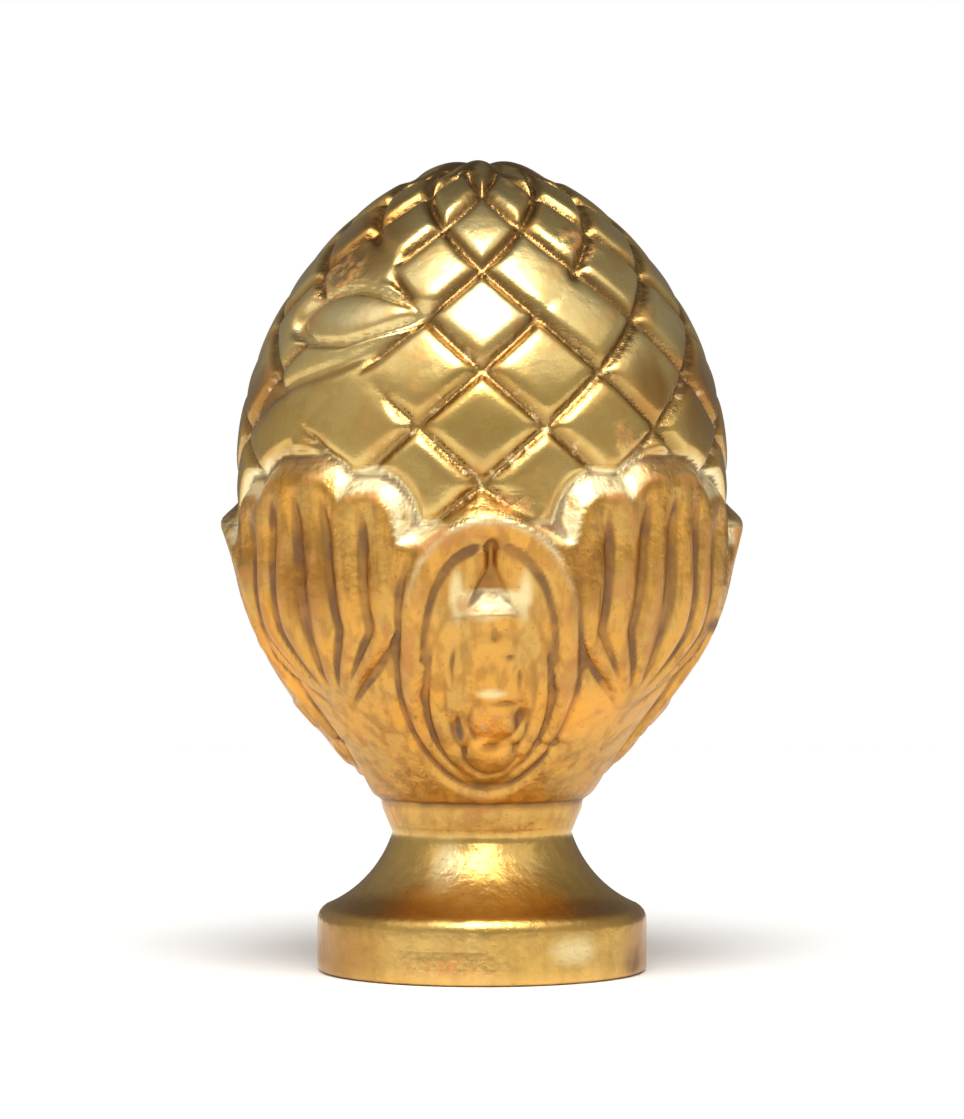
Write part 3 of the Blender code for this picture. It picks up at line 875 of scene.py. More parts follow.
@dataclass(frozen=True)
class ScaledFruit:
    """The crossing grooves of the fruit, as sizes for a Geometry Nodes tree."""

    crown: float = 0.0011
    edge_power: float = 6.5
    groove_depth: float = 0.0006
    groove_half_width: float = 0.0010
    tip_radius: float = 0.0125
    tip_button: float = 0.0002
    tip_lobes: float = 6.0
    tip_lobe_rise: float = 0.0014
    tip_lobe_power: float = 0.6
    tip_turn: float = 0.42
    tip_blend: float = 0.30
    tip_from_row: float = 4.0
    least_radius: float = 0.0045

    def tree(self, material: bpy.types.Material) -> bpy.types.NodeTree:
        """The tree that cuts the scales and raises the carving from the blank.

        Args:
            material: The finish that the tree sets.

        Returns:
            A tree with named inputs for the sizes.
        """
        tree = bpy.data.node_groups.new("carve scales and calyx", "GeometryNodeTree")
        tree.interface.new_socket("Geometry", in_out="INPUT", socket_type="NodeSocketGeometry")
        for name in self.inputs(0, 0.0):
            tree.interface.new_socket(name, in_out="INPUT", socket_type="NodeSocketFloat")
        tree.interface.new_socket("Geometry", in_out="OUTPUT", socket_type="NodeSocketGeometry")
        graph = Graph(tree)
        given = graph.node("NodeGroupInput")
        sizes = {name: Term(graph, given.outputs[name]) for name in self.inputs(0, 0.0)}
        rise, groove = self.scale_field(graph, sizes)
        rise = self.with_tip(graph, sizes, rise)
        rise = rise + (self.read(graph, "worn_rise") - rise) * self.read(graph, "worn")
        bare = 1.0 - self.read(graph, "cover")
        rise = rise - self.read(graph, "strokes")
        raised = self.read(graph, "calyx_rise") + rise * bare
        normal = graph.node("GeometryNodeInputNormal").outputs["Normal"]
        offset = graph.node("ShaderNodeVectorMath", {"operation": "SCALE"}, {0: normal, "Scale": raised})
        blank = given.outputs["Geometry"]
        moved = graph.node("GeometryNodeSetPosition", {}, {"Geometry": blank, "Offset": offset.outputs[0]})
        seen = groove * bare * (1.0 - self.read(graph, "worn"))
        geometry = moved.outputs[0]
        for name, value in (("groove", seen), ("carved", raised)):
            kept = graph.node(
                "GeometryNodeStoreNamedAttribute",
                {"data_type": "FLOAT", "domain": "POINT"},
                {"Geometry": geometry, "Name": name, "Value": value},
            )
            geometry = kept.outputs[0]
        whole = graph.node("GeometryNodeRealizeInstances", {}, {"Geometry": geometry})
        inputs = {"Geometry": whole.outputs[0], "Material": material}
        dressed = graph.node("GeometryNodeSetMaterial", {}, inputs)
        graph.node("NodeGroupOutput", {}, {"Geometry": dressed.outputs[0]})
        return tree

    def inputs(self, scales_around: int, row_pitch: float) -> dict[str, float]:
        """The tree's named sizes and their values."""
        return {
            "Scales around": float(scales_around),
            "Row pitch": row_pitch,
            "Crown": self.crown,
            "Edge power": self.edge_power,
            "Groove depth": self.groove_depth,
            "Groove half width": self.groove_half_width,
            "Tip radius": self.tip_radius,
            "Tip button": self.tip_button,
            "Tip lobes": self.tip_lobes,
            "Tip lobe rise": self.tip_lobe_rise,
        }

    @staticmethod
    def read(graph: Graph, name: str) -> Term:
        """A number that the mesh holds for each point."""
        settings = {"data_type": "FLOAT"}
        return graph.term("GeometryNodeInputNamedAttribute", settings, {"Name": name}, "Attribute")

    def scale_field(self, graph: Graph, sizes: Terms) -> tuple[Term, Term]:
        """The rise of the scales over the blank, and where the grooves are.

        Args:
            graph: The tree.
            sizes: Its named inputs.

        Returns:
            The rise in metres, and 1 along the middle of each groove.
        """
        across = self.read(graph, "turn") * sizes["Scales around"] * (0.5 / math.pi)
        climb = self.read(graph, "rows") * 0.5
        radius = self.read(graph, "radius").math("MAXIMUM", self.least_radius)
        half_width = radius * math.pi / sizes["Scales around"]
        pitch = sizes["Row pitch"]
        between = 2.0 * half_width * pitch / (half_width * half_width + pitch * pitch).math("SQRT")
        pillow: Term | None = None
        groove: Term | None = None
        for hand in GrooveHand:
            number = climb - across * hand.value
            off = (number - number.math("ROUND")).math("ABSOLUTE")
            strength = self.read(graph, f"groove_{hand.name.lower()}")
            edge = 1.0 - strength * (1.0 - 2.0 * off).math("MAXIMUM", 0.0) ** sizes["Edge power"]
            cut = strength * (-((off * between / sizes["Groove half width"]) ** 2.0)).math("EXPONENT")
            pillow = edge if pillow is None else pillow * edge
            groove = cut if groove is None else groove.math("MAXIMUM", cut)
        return sizes["Crown"] * pillow - sizes["Groove depth"] * groove, groove

    def with_tip(self, graph: Graph, sizes: Terms, rise: Term) -> Term:
        """The rise with bumps round the tip, where the grooves would crowd together."""
        radius = self.read(graph, "radius")
        upper = self.read(graph, "rows").math("GREATER_THAN", self.tip_from_row)
        at_tip = (1.0 - radius / sizes["Tip radius"]).over(0.0, self.tip_blend) * upper
        ring = (radius / sizes["Tip radius"]).math("MINIMUM", 1.0) * math.pi
        turn = self.read(graph, "turn") * sizes["Tip lobes"] * 0.5 + self.tip_turn
        lobe = turn.math("COSINE").math("ABSOLUTE") ** self.tip_lobe_power * ring.math("SINE")
        button = sizes["Tip button"] * ring.math("COSINE").math("MAXIMUM", 0.0)
        return rise + (button + sizes["Tip lobe rise"] * lobe - rise) * at_tip


@dataclass(frozen=True)
class Stroke:
    """A groove cut along a bent line, given by the turn and height of its corners."""

    corners: tuple[tuple[float, float], ...]
    depth: float
    half_width: float

    def cut(self, surface: Surface) -> Grid:
        """Depth of the groove at each place."""
        nearest = np.full_like(surface.turn, np.inf)
        for (turn, height), (next_turn, next_height) in zip(self.corners, self.corners[1:]):
            along = (next_turn - turn) * surface.radius
            rise = next_height - height
            x = (surface.turn - turn) * surface.radius
            y = surface.height - height
            share = np.clip((x * along + y * rise) / (along**2 + rise**2), 0.0, 1.0)
            nearest = np.minimum(nearest, np.hypot(x - share * along, y - share * rise))
        return self.depth * bump(nearest / self.half_width)


def degrees(*pairs: tuple[float, float]) -> tuple[tuple[float, float], ...]:
    """Corners of a stroke, from turns in degrees and heights in millimetres."""
    return tuple((math.radians(turn), height / 1000.0) for turn, height in pairs)


@dataclass(frozen=True)
class Workmanship:
    """The carver's odd cuts: a scale like a lens on the left of the front, and plain ground round it."""

    lens: OvalPatch = OvalPatch(math.radians(-37.5), 0.0976, math.radians(19.0), 0.0038)
    ground: OvalPatch = OvalPatch(math.radians(-42.0), 0.1045, math.radians(19.0), 0.0048)
    ground_level: float = 0.0006
    ground_edge: float = 0.35
    lens_level: float = 0.0002
    lens_crown: float = 0.0009
    lens_groove: float = 0.0007
    lens_groove_place: float = 1.08
    lens_groove_width: float = 0.20
    lens_taper: float = 0.40
    lens_tilt: float = 0.0003
    lens_reach: float = 1.35
    lens_edge: float = 0.25
    bent_groove: Stroke = Stroke(
        corners=degrees(
            (-15.0, 97.9),
            (-22.0, 94.9),
            (-30.4, 91.6),
            (-36.0, 90.3),
            (-44.5, 89.0),
            (-51.3, 88.0),
            (-59.0, 86.2),
            (-70.0, 82.0),
        ),
        depth=0.0009,
        half_width=0.0012,
    )
    fade_depth: float = 0.90
    fade_edge: float = 0.45
    right_fades: tuple[OvalPatch, ...] = patches((-42.0, 85.0, 23.0, 10.0), (21.0, 100.6, 10.0, 5.6))
    left_fades: tuple[OvalPatch, ...] = patches((-40.0, 86.2, 25.0, 7.5), (-36.0, 91.5, 22.0, 6.0))

    def worn(self, surface: Surface) -> tuple[Grid, Grid]:
        """Where the odd scale and the plain ground lie, and their rise over the blank."""
        across = (surface.turn - self.lens.turn) / self.lens.half_turn
        upright = surface.height - self.lens.height - self.lens_tilt * across
        half_height = self.lens.half_height * (1.0 - self.lens_taper * np.clip(across, 0.0, 1.0))
        lens = np.hypot(across, upright / half_height)
        groove = bump((lens - self.lens_groove_place) / self.lens_groove_width)
        crown = self.lens_crown * np.sqrt(np.maximum(0.0, 1.0 - lens**2))
        odd = self.lens_level + crown - self.lens_groove * groove
        at_lens = eased((self.lens_reach - lens) / self.lens_edge)
        at_ground = eased((1.0 - surface.oval(self.ground)) / self.ground_edge)
        return np.maximum(at_lens, at_ground), self.ground_level + (odd - self.ground_level) * at_lens

    def strength(self, surface: Surface, hand: GrooveHand) -> Grid:
        """How deep the grooves of one hand are cut, from 0 to 1."""
        strength = np.ones_like(surface.turn)
        fades = self.right_fades if hand is GrooveHand.RIGHT else self.left_fades
        for fade in fades:
            strength = strength * (1.0 - self.fade_depth * eased((1.0 - surface.oval(fade)) / self.fade_edge))
        return strength


@dataclass(frozen=True)
class Wear:
    """Places where the gilding is rubbed through, pale, orange, brown or dirty, with patches of painted
    highlight and painted shade among the pale and brown ones.
    """

    rubbed: tuple[OvalPatch, ...] = patches(
        (2.0, 70.0, 14.0, 2.2),
        (-50.0, 103.5, 15.0, 5.2),
        (34.0, 80.0, 5.0, 3.0),
        (4.0, 38.7, 7.0, 2.2),
        (-12.0, 2.8, 24.0, 2.2),
        (35.0, 108.0, 12.0, 3.0),
        (150.0, 3.2, 30.0, 2.4),
        (-128.0, 93.0, 14.0, 5.0),
    )
    # The pale patches on the neck, on the lens, on the niche's two walls and on the ledge over the plate are
    # painted highlights; the one on the foot's right is a dull pale patch in the gilding.
    pale: tuple[OvalPatch, ...] = patches(
        (33.0, 5.0, 13.0, 2.6),
        (-20.0, 16.5, 12.0, 5.0),
        (-37.0, 97.6, 15.0, 2.8),
        (-5.8, 57.0, 2.2, 5.2),
        (10.0, 57.0, 2.2, 5.2),
        (0.6, 55.2, 6.5, 2.4),
        (2.7, 42.9, 5.5, 0.9),
    )
    orange: tuple[OvalPatch, ...] = patches(
        (3.0, 36.2, 9.0, 5.6),
        (-64.0, 47.0, 13.0, 11.0),
        (36.0, 40.0, 16.0, 6.0),
    )
    # The brown patches at the back of the niche, on the two sides of the foot and on the fruit's right side
    # are painted shade; the others darken the gilding to a brown tone.
    painted_shade_and_browning: tuple[OvalPatch, ...] = patches(
        (2.2, 59.2, 5.0, 5.0),
        (-44.0, 10.6, 52.0, 2.4),
        (44.0, 10.6, 42.0, 2.0),
        (-62.0, 4.0, 36.0, 8.0),
        (72.0, 4.0, 24.0, 8.0),
        (3.5, 64.0, 1.2, 2.6),
        (4.2, 51.2, 1.0, 1.0),
        (3.0, 34.8, 5.5, 1.0),
        (66.0, 86.0, 18.0, 12.0),
        (44.0, 86.8, 9.0, 6.8),
        (-46.0, 108.5, 28.0, 9.0),
        (-66.0, 86.0, 16.0, 6.0),
        (-44.0, 59.0, 14.0, 8.0),
        (22.0, 60.0, 5.0, 9.0),
    )
    dirty: tuple[OvalPatch, ...] = patches(
        (64.0, 2.4, 10.0, 2.4),
        (72.0, 53.0, 5.0, 1.6),
        (12.5, 39.5, 4.0, 1.7),
        (-7.6, 37.0, 2.2, 1.9),
    )
    softness: float = 0.7
    high_from: float = 0.084
    high_to: float = 0.098

    def masks(self, surface: Surface) -> dict[str, Grid]:
        """How strongly each kind of wear, painted highlight and painted shade shows at each place, from 0 to
        1.
        """
        kinds = ("rubbed", "pale", "orange", "painted_shade_and_browning", "dirty")
        masks = {name: self.mask(surface, getattr(self, name)) for name in kinds}
        masks["high"] = eased((surface.height - self.high_from) / (self.high_to - self.high_from))
        return masks

    def mask(self, surface: Surface, spots: Sequence[OvalPatch]) -> Grid:
        """The strongest of some patches at each place."""
        return np.maximum.reduce([eased((1.0 - surface.oval(spot)) / self.softness) for spot in spots])


@dataclass(frozen=True)
class Pattern:
    """A cloudy pattern, by its fineness and its number of finer layers."""

    scale: float
    detail: float


@dataclass(frozen=True)
class Onset:
    """How a value turns into a share: none up to low, and the full amount from high."""

    low: float
    high: float
    amount: float = 1.0

    def of(self, value: Term) -> Term:
        """The share for that value."""
        return value.over(self.low, self.high) * self.amount


@dataclass(frozen=True)
class Amount:
    """An amount that differs with the marks: a plain part, and what each mark adds to it."""

    plain: float
    added: tuple[tuple[str, float], ...]

    def at(self, mark: Terms) -> Term:
        """The amount for those marks."""
        return sum((mark[name] * more for name, more in self.added), self.plain)


@dataclass(frozen=True)
class GiltFinish:
    """Gold leaf over red bole: burnished on the fruit, warmer and duller on the calyx, worn in places, with
    painted highlights on ledges and painted shade in hollows, grooves and brown patches.
    """

    fruit_gold: Colour = (0.78, 0.61, 0.27, 1.0)
    fruit_shade: Colour = (0.67, 0.45, 0.13, 1.0)
    fruit_stain: Colour = (0.50, 0.26, 0.055, 1.0)
    # Dark brown in the grooves: grime and painted shade.
    groove_dirt_and_shade: Colour = (0.30, 0.17, 0.050, 1.0)
    calyx_gold: Colour = (0.69, 0.34, 0.060, 1.0)
    calyx_pale: Colour = (0.56, 0.37, 0.105, 1.0)
    # Dark calyx gold, for brush streaks, and for the hollows and brown patches, where it is partly painted
    # shade.
    calyx_shade: Colour = (0.36, 0.155, 0.030, 1.0)
    orange_gold: Colour = (0.90, 0.42, 0.070, 1.0)
    # Pale gold of the pale patches, a painted highlight in most of them.
    pale_gold_and_highlight: Colour = (0.84, 0.71, 0.37, 1.0)
    crumb_gold: Colour = (1.00, 0.74, 0.38, 1.0)
    # Painted highlight colour of the ledges that face the light.
    painted_highlight_gold: Colour = (1.00, 0.86, 0.50, 1.0)
    bole: Colour = (0.60, 0.26, 0.065, 1.0)
    # Colour of grime, which in the deep hollows also paints their shade.
    dirt_and_hollow_shade: Colour = (0.15, 0.065, 0.022, 1.0)

    broad: Pattern = Pattern(50.0, 3.0)
    cloud: Pattern = Pattern(170.0, 5.0)
    crumb: Pattern = Pattern(620.0, 5.0)
    pinhole: Pattern = Pattern(1500.0, 3.0)
    streak: Pattern = Pattern(520.0, 4.0)
    streak_shape: tuple[float, float, float] = (1.0, 1.0, 0.22)

    roughness: Amount = Amount(0.27, (("calyx", 0.11),))
    cloud_roughness: float = 0.20
    covered_roughness: float = 0.22
    lump_roughness: float = 0.08
    ledge_roughness: float = 0.12
    coat: float = 0.12
    coat_roughness: float = 0.25
    bole_dulling: float = 0.35
    dirt_and_hollow_shade_dulling: float = 0.7

    bump_depth: float = 0.00030
    crumb_relief: Amount = Amount(0.12, (("calyx", 0.45), ("groove", 0.9), ("rubbed", 1.3), ("painted_ledge_highlight", 0.1)))
    cloud_relief: Amount = Amount(0.5, (("calyx", 1.1), ("painted_ledge_highlight", -0.8)))
    streak_relief: Amount = Amount(0.0, (("calyx", 0.7),))
    dirt_and_hollow_shade_relief: float = 0.5

    crumbs_in_grooves: Onset = Onset(0.40, 0.55)
    crumbs_where_rubbed: float = 0.6
    crumb_grains: Onset = Onset(0.54, 0.64)
    ledge_highlight_breaks: Onset = Onset(0.30, 0.52)

    bole_edges: Onset = Onset(0.30, 1.0)
    edge_breaks: Onset = Onset(0.44, 0.62)
    edge_bole: Amount = Amount(0.25, (("calyx", 0.55),))
    rubbed_bole: Onset = Onset(0.42, 0.60, 0.85)
    scattered_breaks: Onset = Onset(0.60, 0.72)
    scattered_bole: Amount = Amount(0.25, (("calyx", 0.40),))

    # Darkening in the deep hollows: grime and painted shade.
    dirt_and_shade_in_hollows: Onset = Onset(0.35, 1.0)
    hollow_clouds: Onset = Onset(0.36, 0.60, 0.70)
    least_hollow_dirt_and_shade: float = 0.10
    dirt_pits: Onset = Onset(0.62, 0.76)
    pit_dirt: Amount = Amount(0.05, (("calyx", 0.25),))
    dirty_clouds: Onset = Onset(0.40, 0.55, 0.5)
    least_dirty: float = 0.4

    warm_clouds: Onset = Onset(0.42, 0.66, 0.5)
    low_warmth: float = 0.75
    stain_clouds: Onset = Onset(0.46, 0.66, 0.40)
    stained_grooves: Onset = Onset(0.0, 0.30, 0.35)
    darkened_grooves: Onset = Onset(0.08, 0.70)
    groove_darkening: Amount = Amount(0.60, (("high", 0.35),))
    pale_clouds: Onset = Onset(0.40, 0.76)
    dark_streaks: Onset = Onset(0.44, 0.64, 0.60)
    # Darker calyx gold in the hollows: grime and painted shade.
    dark_hollows: Onset = Onset(0.05, 0.70, 0.75)
    orange_share: float = 0.7
    calyx_share: float = 0.62
    calyx_clouds: float = 0.6
    pale_and_highlight_share: float = 0.8
    painted_shade_and_browning_share: float = 0.45
    painted_shade_and_browning_clouds: float = 0.5

    def material(self) -> bpy.types.Material:
        """The finish as a material."""
        material = bpy.data.materials.new("gold leaf over bole")
        material.use_nodes = True
        material.node_tree.nodes.clear()
        graph = Graph(material.node_tree)
        mark = {
            name: graph.term("ShaderNodeAttribute", {"attribute_name": name}, {}, "Fac") for name in MARKS
        }
        pattern = self.patterns(graph)
        cover = {
            "painted_ledge_highlight": self.ledge_highlight_share(mark, pattern),
            "lumps": self.lump_share(mark, pattern),
            "bole": self.bole_share(mark, pattern),
            "dirt_and_hollow_shade": self.dirt_and_hollow_shade_share(mark, pattern),
        }
        relief = pattern["crumb"] * self.crumb_relief.at(mark) + pattern["cloud"] * self.cloud_relief.at(mark)
        relief = relief + pattern["streak"] * self.streak_relief.at(mark) - cover["dirt_and_hollow_shade"] * self.dirt_and_hollow_shade_relief
        inputs = {"Strength": 1.0, "Distance": self.bump_depth, "Height": relief}
        bumped = graph.node("ShaderNodeBump", {}, inputs)
        shader = graph.node(
            "ShaderNodeBsdfPrincipled",
            {},
            {
                "Base Color": self.colour(graph, mark, pattern, cover),
                "Metallic": 1.0 - cover["bole"] * self.bole_dulling - cover["dirt_and_hollow_shade"] * self.dirt_and_hollow_shade_dulling,
                "Roughness": self.rough_share(mark, pattern, cover),
                "Coat Weight": self.coat,
                "Coat Roughness": self.coat_roughness,
                "Normal": bumped.outputs[0],
            },
        )
        graph.node("ShaderNodeOutputMaterial", {}, {"Surface": shader.outputs[0]})
        return material

    def patterns(self, graph: Graph) -> dict[str, Term]:
        """The cloudy patterns, in the piece's own space. The streaks are drawn out upwards."""
        place = graph.node("ShaderNodeTexCoord").outputs["Object"]
        settings = {"operation": "MULTIPLY"}
        drawn = graph.node("ShaderNodeVectorMath", settings, {0: place, 1: self.streak_shape})
        found = {}
        for name in ("broad", "cloud", "crumb", "pinhole", "streak"):
            kind = getattr(self, name)
            where = drawn.outputs[0] if name == "streak" else place
            inputs = {"Vector": where, "Scale": kind.scale, "Detail": kind.detail}
            found[name] = graph.term("ShaderNodeTexNoise", {}, inputs)
        return found

    def rough_share(self, mark: Terms, pattern: Terms, cover: Terms) -> Term:
        """How rough the surface is: more in cloudy places, on bole, on grime and the painted shade of the
        hollows, and on the ledges' painted highlight.
        """
        covered = cover["bole"].math("MAXIMUM", cover["dirt_and_hollow_shade"]) * self.covered_roughness
        rough = self.roughness.at(mark) + (pattern["cloud"] - 0.5) * self.cloud_roughness + covered
        return rough + cover["lumps"] * self.lump_roughness + cover["painted_ledge_highlight"] * self.ledge_roughness

    def ledge_highlight_share(self, mark: Terms, pattern: Terms) -> Term:
        """Where the painted highlight on the ledges shows, broken up a little."""
        mixed = pattern["cloud"] * 0.5 + pattern["crumb"] * 0.5
        return (mark["painted_ledge_highlight"] * self.ledge_highlight_breaks.of(mixed)).clamped()

    def lump_share(self, mark: Terms, pattern: Terms) -> Term:
        """Where gilded crumbs lie: along the lower grooves and in rubbed patches."""
        along = mark["groove"] * (1.0 - mark["high"]) * self.crumbs_in_grooves.of(pattern["cloud"])
        crumbly = along + mark["rubbed"] * self.crumbs_where_rubbed
        return (crumbly * self.crumb_grains.of(pattern["crumb"])).clamped()

    def bole_share(self, mark: Terms, pattern: Terms) -> Term:
        """Where the red bole shows: along worn edges, in rubbed patches and scattered about."""
        broken = self.edge_breaks.of(pattern["cloud"])
        edges = self.bole_edges.of(mark["edge"]) * broken * self.edge_bole.at(mark)
        rubbed = mark["rubbed"] * self.rubbed_bole.of(pattern["crumb"])
        scattered = self.scattered_breaks.of(pattern["cloud"]) * self.scattered_bole.at(mark)
        return edges.math("MAXIMUM", rubbed).math("MAXIMUM", scattered).clamped()

    def dirt_and_hollow_shade_share(self, mark: Terms, pattern: Terms) -> Term:
        """Where it darkens: grime with painted shade in the deep hollows, and grime in small pits and dirty
        patches.
        """
        cloudy = self.least_hollow_dirt_and_shade + mark["calyx"] * self.hollow_clouds.of(pattern["cloud"])
        hollows = self.dirt_and_shade_in_hollows.of(mark["hollow"]) * cloudy
        pits = self.dirt_pits.of(pattern["pinhole"]) * self.pit_dirt.at(mark)
        spots = mark["dirty"] * (self.least_dirty + self.dirty_clouds.of(pattern["cloud"]))
        return hollows.math("MAXIMUM", pits).math("MAXIMUM", spots).clamped()

    def colour(self, graph: Graph, mark: Terms, pattern: Terms, cover: Terms) -> bpy.types.NodeSocket:
        """The colour of the leaf, with what shows through it and lies on it, and with painted highlights and
        painted shade.

        Args:
            graph: The material's tree.
            mark: The marks that the mesh holds.
            pattern: The cloudy patterns.
            cover: Where the painted ledge highlights, crumbs, bole, and grime with painted shade in the
                hollows show.

        Returns:
            The mixed colour.
        """
        warmer = (self.warm_clouds.of(pattern["broad"]) + self.low_warmth * (1.0 - mark["high"])).clamped()
        stain = (self.stain_clouds.of(pattern["cloud"]) + self.stained_grooves.of(mark["groove"])).clamped()
        # The grooves darkened: grime and painted shade, more on the upper fruit.
        dull = self.darkened_grooves.of(mark["groove"]) * self.groove_darkening.at(mark)
        fruit = self.layered(
            graph,
            self.fruit_gold,
            ((warmer, self.fruit_shade), (stain, self.fruit_stain), (dull, self.groove_dirt_and_shade)),
        )
        calyx = self.layered(
            graph,
            self.calyx_gold,
            (
                (self.pale_clouds.of(pattern["cloud"]), self.calyx_pale),
                (self.dark_streaks.of(pattern["streak"]), self.calyx_shade),
                # the hollows, darkened as grime and painted shade
                (self.dark_hollows.of(mark["hollow"]), self.calyx_shade),
                (mark["orange"] * self.orange_share, self.orange_gold),
            ),
        )
        on_calyx = mark["calyx"] * (self.calyx_share + self.calyx_clouds * pattern["broad"])
        # The brown patches, partly painted shade.
        brown = mark["painted_shade_and_browning"] * (self.painted_shade_and_browning_share + self.painted_shade_and_browning_clouds * pattern["cloud"])
        return self.layered(
            graph,
            fruit,
            (
                (on_calyx.clamped(), calyx),
                # the pale patches, most of them a painted highlight
                (mark["pale"] * self.pale_and_highlight_share, self.pale_gold_and_highlight),
                (brown, self.calyx_shade),
                # the painted highlight on the ledges
                (cover["painted_ledge_highlight"], self.painted_highlight_gold),
                (cover["lumps"], self.crumb_gold),
                (cover["bole"], self.bole),
                # grime, and painted shade in the hollows
                (cover["dirt_and_hollow_shade"], self.dirt_and_hollow_shade),
            ),
        )

    @staticmethod
    def layered(graph: Graph, ground: Any, layers: Sequence[tuple[Term, Any]]) -> bpy.types.NodeSocket:
        """A ground colour with other colours laid over it in turn, each by its share."""
        for share, colour in layers:
            ground = graph.blend(share, ground, colour)
        return ground


@dataclass(frozen=True)
class Finial:
    """The whole finial: the blank, its carving and its finish."""

    blank: TurnedBlank = field(default_factory=TurnedBlank)
    calyx: Calyx = field(default_factory=Calyx)
    fruit: ScaledFruit = field(default_factory=ScaledFruit)
    workmanship: Workmanship = field(default_factory=Workmanship)
    wear: Wear = field(default_factory=Wear)
    finish: GiltFinish = field(default_factory=GiltFinish)
    # Cover of the calyx under which the ledges keep the paler fruit gold, as part of their painted highlight.
    ledge_highlight_cover: float = 0.90
    collar_warmth: float = 0.80
    foot_warmth: float = 0.35
    relief_reach: int = 3
    edge_rise: float = 0.00028
    hollow_depth: float = 0.00026

    def build(self) -> bpy.types.Object:
        """The carved and gilded piece.

        Returns:
            A plain mesh object at the origin, with no modifiers.
        """
        profile = self.blank.profile()
        surface = Surface.of(self.blank, profile)
        mesh = self.blank.mesh(profile)
        calyx_rise, cover = self.calyx.rise(surface, self.blank.cup_foot)
        worn, worn_rise = self.workmanship.worn(surface)
        values = {
            "turn": surface.turn,
            "rows": surface.rows,
            "radius": surface.radius,
            "calyx_rise": calyx_rise,
            "cover": cover,
            "worn": worn,
            "worn_rise": worn_rise,
            "strokes": self.workmanship.bent_groove.cut(surface),
            "calyx": self.warmth(surface, cover),
            # The painted highlight on the ledges, kept as a mark for the finish.
            "painted_ledge_highlight": self.calyx.painted_ledge_highlight(surface, self.blank.cup_foot),
        }
        for hand in GrooveHand:
            values[f"groove_{hand.name.lower()}"] = self.workmanship.strength(surface, hand)
        for name, grid in values.items():
            self.hold(mesh, name, grid)
        finial = self.carve(mesh, self.blank.row_pitch(profile))
        self.hold_relief(finial.data, surface.turn.shape)
        for name, grid in self.wear.masks(surface).items():
            self.hold(finial.data, name, grid)
        return finial

    def warmth(self, surface: Surface, cover: Grid) -> Grid:
        """How warm and dull the gold is: full on the calyx, less on the collar and the foot. On the ledges'
        slopes, where the calyx covers little, the paler fruit gold stays as part of their painted highlight.
        """
        below = np.where(surface.height > self.blank.neck_height, self.collar_warmth, self.foot_warmth)
        dulled = eased((cover - self.ledge_highlight_cover) / (1.0 - self.ledge_highlight_cover))
        return np.where(surface.height > self.blank.cup_foot, dulled, below)

    def hold_relief(self, mesh: bpy.types.Mesh, shape: tuple[int, int]) -> None:
        """Marks what stands out and what lies deep, from the carved height of each point."""
        numbers = np.empty(len(mesh.vertices), dtype=np.float32)
        mesh.attributes["carved"].data.foreach_get("value", numbers)
        carved = numbers[1:-1].reshape(shape)
        stands = carved - blurred(carved, self.relief_reach)
        self.hold(mesh, "edge", np.clip(stands / self.edge_rise, 0.0, 1.0))
        # The hollow mark darkens the deep places in the finish, as grime and painted shade.
        self.hold(mesh, "hollow", np.clip(-stands / self.hollow_depth, 0.0, 1.0))

    @staticmethod
    def hold(mesh: bpy.types.Mesh, name: str, grid: Grid) -> None:
        """Keeps a number for each point of the mesh, with the end points taking their ring's mean."""
        ends = (grid[0].mean(), grid[-1].mean())
        numbers = np.concatenate([[ends[0]], grid.ravel(), [ends[1]]]).astype(np.float32)
        mesh.attributes.new(name, "FLOAT", "POINT").data.foreach_set("value", numbers)

    def carve(self, mesh: bpy.types.Mesh, row_pitch: float) -> bpy.types.Object:
        """Runs the carving tree on the blank and keeps its result as a plain mesh."""
        rough = placed("rough blank", mesh)
        carving = rough.modifiers.new("carving", "NODES")
        carving.node_group = self.fruit.tree(self.finish.material())
        identifiers = {item.name: item.identifier for item in carving.node_group.interface.items_tree}
        for name, value in self.fruit.inputs(self.blank.scales_around, row_pitch).items():
            carving[identifiers[name]] = value
        graph = bpy.context.evaluated_depsgraph_get()
        carved = bpy.data.meshes.new_from_object(rough.evaluated_get(graph))
        bpy.data.objects.remove(rough)
        return placed("gilded_finial", carved)


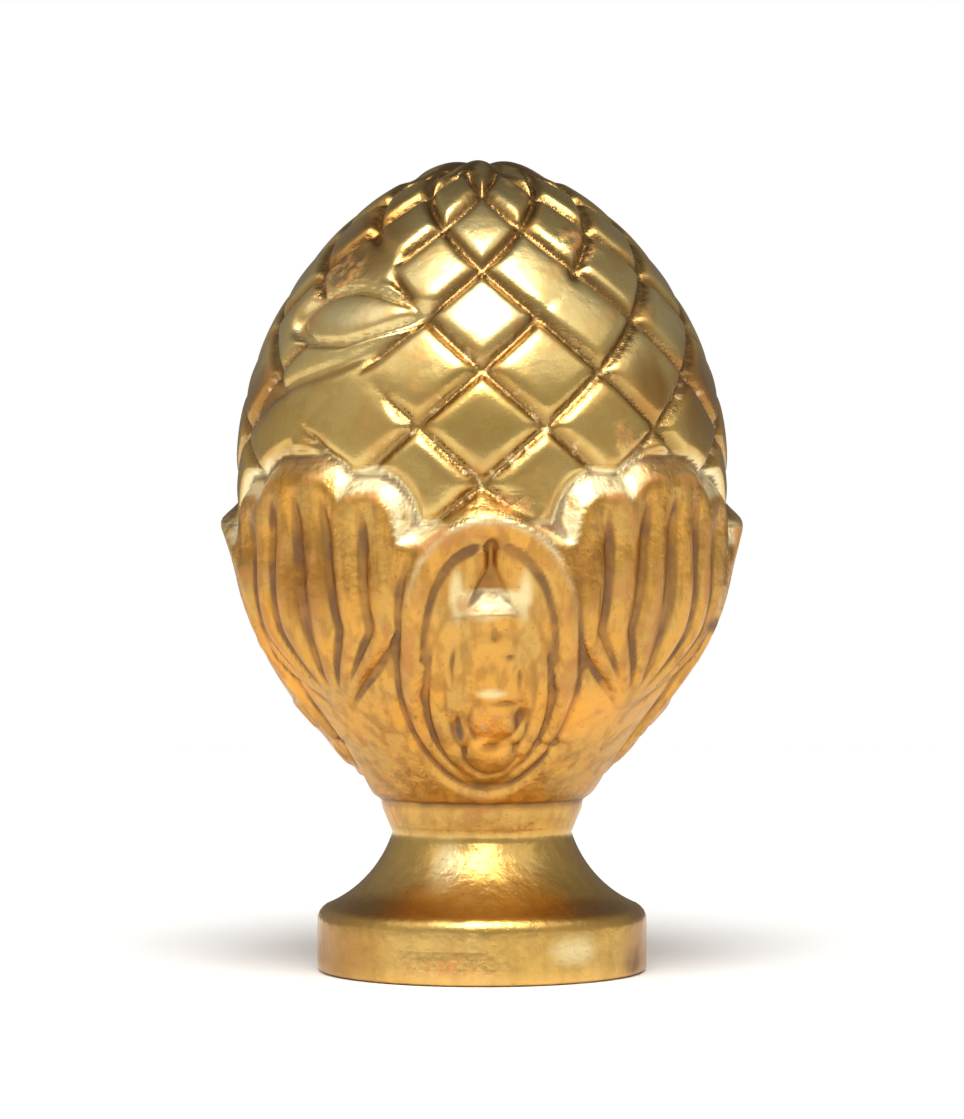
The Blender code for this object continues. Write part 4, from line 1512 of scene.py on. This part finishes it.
@dataclass(frozen=True)
class Studio:
    """A pale floor, soft light from above the front, and the camera where the photographer stood."""

    camera_distance: float = 0.5821
    camera_height: float = 0.0623
    image_height_pixels: float = 1119.0
    distance_pixels: float = 3830.0
    sensor_height: float = 36.0
    floor_radius: float = 0.70
    floor_corners: int = 128
    key_elevation: float = math.radians(60.0)
    key_angle: float = math.radians(38.0)
    key_strength: float = 2.8
    panel_width: float = 2.4
    panel_depth: float = 0.85
    panel_height: float = 0.90
    panel_forward: float = 0.56
    panel_power: float = 5.0
    floor_colour: Colour = (0.96, 0.96, 0.96, 1.0)
    floor_roughness: float = 0.8
    room_colour: Colour = (1.0, 0.96, 0.88, 1.0)
    backdrop_colour: Colour = (1.0, 1.0, 1.0, 1.0)
    room_strength: float = 0.40
    darker_behind: Onset = Onset(-0.6, 0.9, 0.24)
    lighter_left: Onset = Onset(0.1, 0.9, 0.20)
    lighter_right: Onset = Onset(0.1, 0.9, 0.12)
    darker_above: Onset = Onset(0.4, 0.95, 0.10)

    def build(self) -> None:
        """Adds the floor, the lights and the camera."""
        self.floor()
        self.key_light()
        self.panel_light()
        self.surroundings()
        self.camera()
        bpy.context.scene.view_settings.view_transform = "Standard"

    def floor(self) -> None:
        """A round flat floor at the foot's level."""
        turns = np.arange(self.floor_corners) * 2.0 * math.pi / self.floor_corners
        rim = np.stack([np.cos(turns), np.sin(turns), np.zeros_like(turns)], axis=1) * self.floor_radius
        mesh = bpy.data.meshes.new("floor")
        mesh.from_pydata(rim.tolist(), [], [tuple(range(self.floor_corners))])
        floor = placed("floor", mesh)
        material = bpy.data.materials.new("pale floor")
        material.use_nodes = True
        shader = material.node_tree.nodes["Principled BSDF"]
        shader.inputs["Base Color"].default_value = self.floor_colour
        shader.inputs["Roughness"].default_value = self.floor_roughness
        mesh.materials.append(material)

    def key_light(self) -> None:
        """A soft light from above the camera."""
        light = bpy.data.lights.new("key", "SUN")
        light.energy = self.key_strength
        light.angle = self.key_angle
        away = Vector((0.0, math.cos(self.key_elevation), -math.sin(self.key_elevation)))
        placed("key", light).rotation_euler = away.to_track_quat("-Z", "Y").to_euler()

    def panel_light(self) -> None:
        """A wide dim panel overhead, a little in front."""
        light = bpy.data.lights.new("panel", "AREA")
        light.shape = "RECTANGLE"
        light.size = self.panel_width
        light.size_y = self.panel_depth
        light.energy = self.panel_power
        placed("panel", light).location = (0.0, -self.panel_forward, self.panel_height)

    def surroundings(self) -> None:
        """A dim room, lighter in front and at the sides, with a white backdrop for the camera."""
        world = bpy.data.worlds.new("studio")
        world.use_nodes = True
        world.node_tree.nodes.clear()
        graph = Graph(world.node_tree)
        direction = graph.node("ShaderNodeTexCoord").outputs["Generated"]
        axes = graph.node("ShaderNodeSeparateXYZ", {}, {0: direction})
        forward = Term(graph, axes.outputs["Y"])
        leftward = -Term(graph, axes.outputs["X"])
        upward = Term(graph, axes.outputs["Z"])
        strength = self.room_strength - self.darker_behind.of(forward) + self.lighter_left.of(leftward)
        strength = strength + self.lighter_right.of(-leftward) - self.darker_above.of(upward)
        room = graph.node("ShaderNodeBackground", {}, {"Color": self.room_colour, "Strength": strength})
        backdrop = graph.node("ShaderNodeBackground", {}, {"Color": self.backdrop_colour, "Strength": 1.0})
        seen = graph.node("ShaderNodeLightPath").outputs["Is Camera Ray"]
        mixed = graph.node("ShaderNodeMixShader", {}, {0: seen, 1: room.outputs[0], 2: backdrop.outputs[0]})
        graph.node("ShaderNodeOutputWorld", {}, {"Surface": mixed.outputs[0]})
        bpy.context.scene.world = world

    def camera(self) -> None:
        """The camera, level, in front of the finial."""
        data = bpy.data.cameras.new("camera")
        data.sensor_fit = "VERTICAL"
        data.sensor_height = self.sensor_height
        data.lens = self.sensor_height * self.distance_pixels / self.image_height_pixels
        camera = placed("camera", data)
        camera.location = (0.0, -self.camera_distance, self.camera_height)
        camera.rotation_euler = (math.pi / 2.0, 0.0, 0.0)
        bpy.context.scene.camera = camera


def main() -> None:
    """Builds the finial and the studio."""
    logging.basicConfig(level=logging.INFO)
    piece = Finial().build()
    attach(piece, "root")
    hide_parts(NODE)
    LOG.info("%s: %d faces", piece.name, len(piece.data.polygons))
    Studio().build()
    LOG.info("studio: floor, key and panel lights, surroundings and camera")


if __name__ == "__main__":
    main()
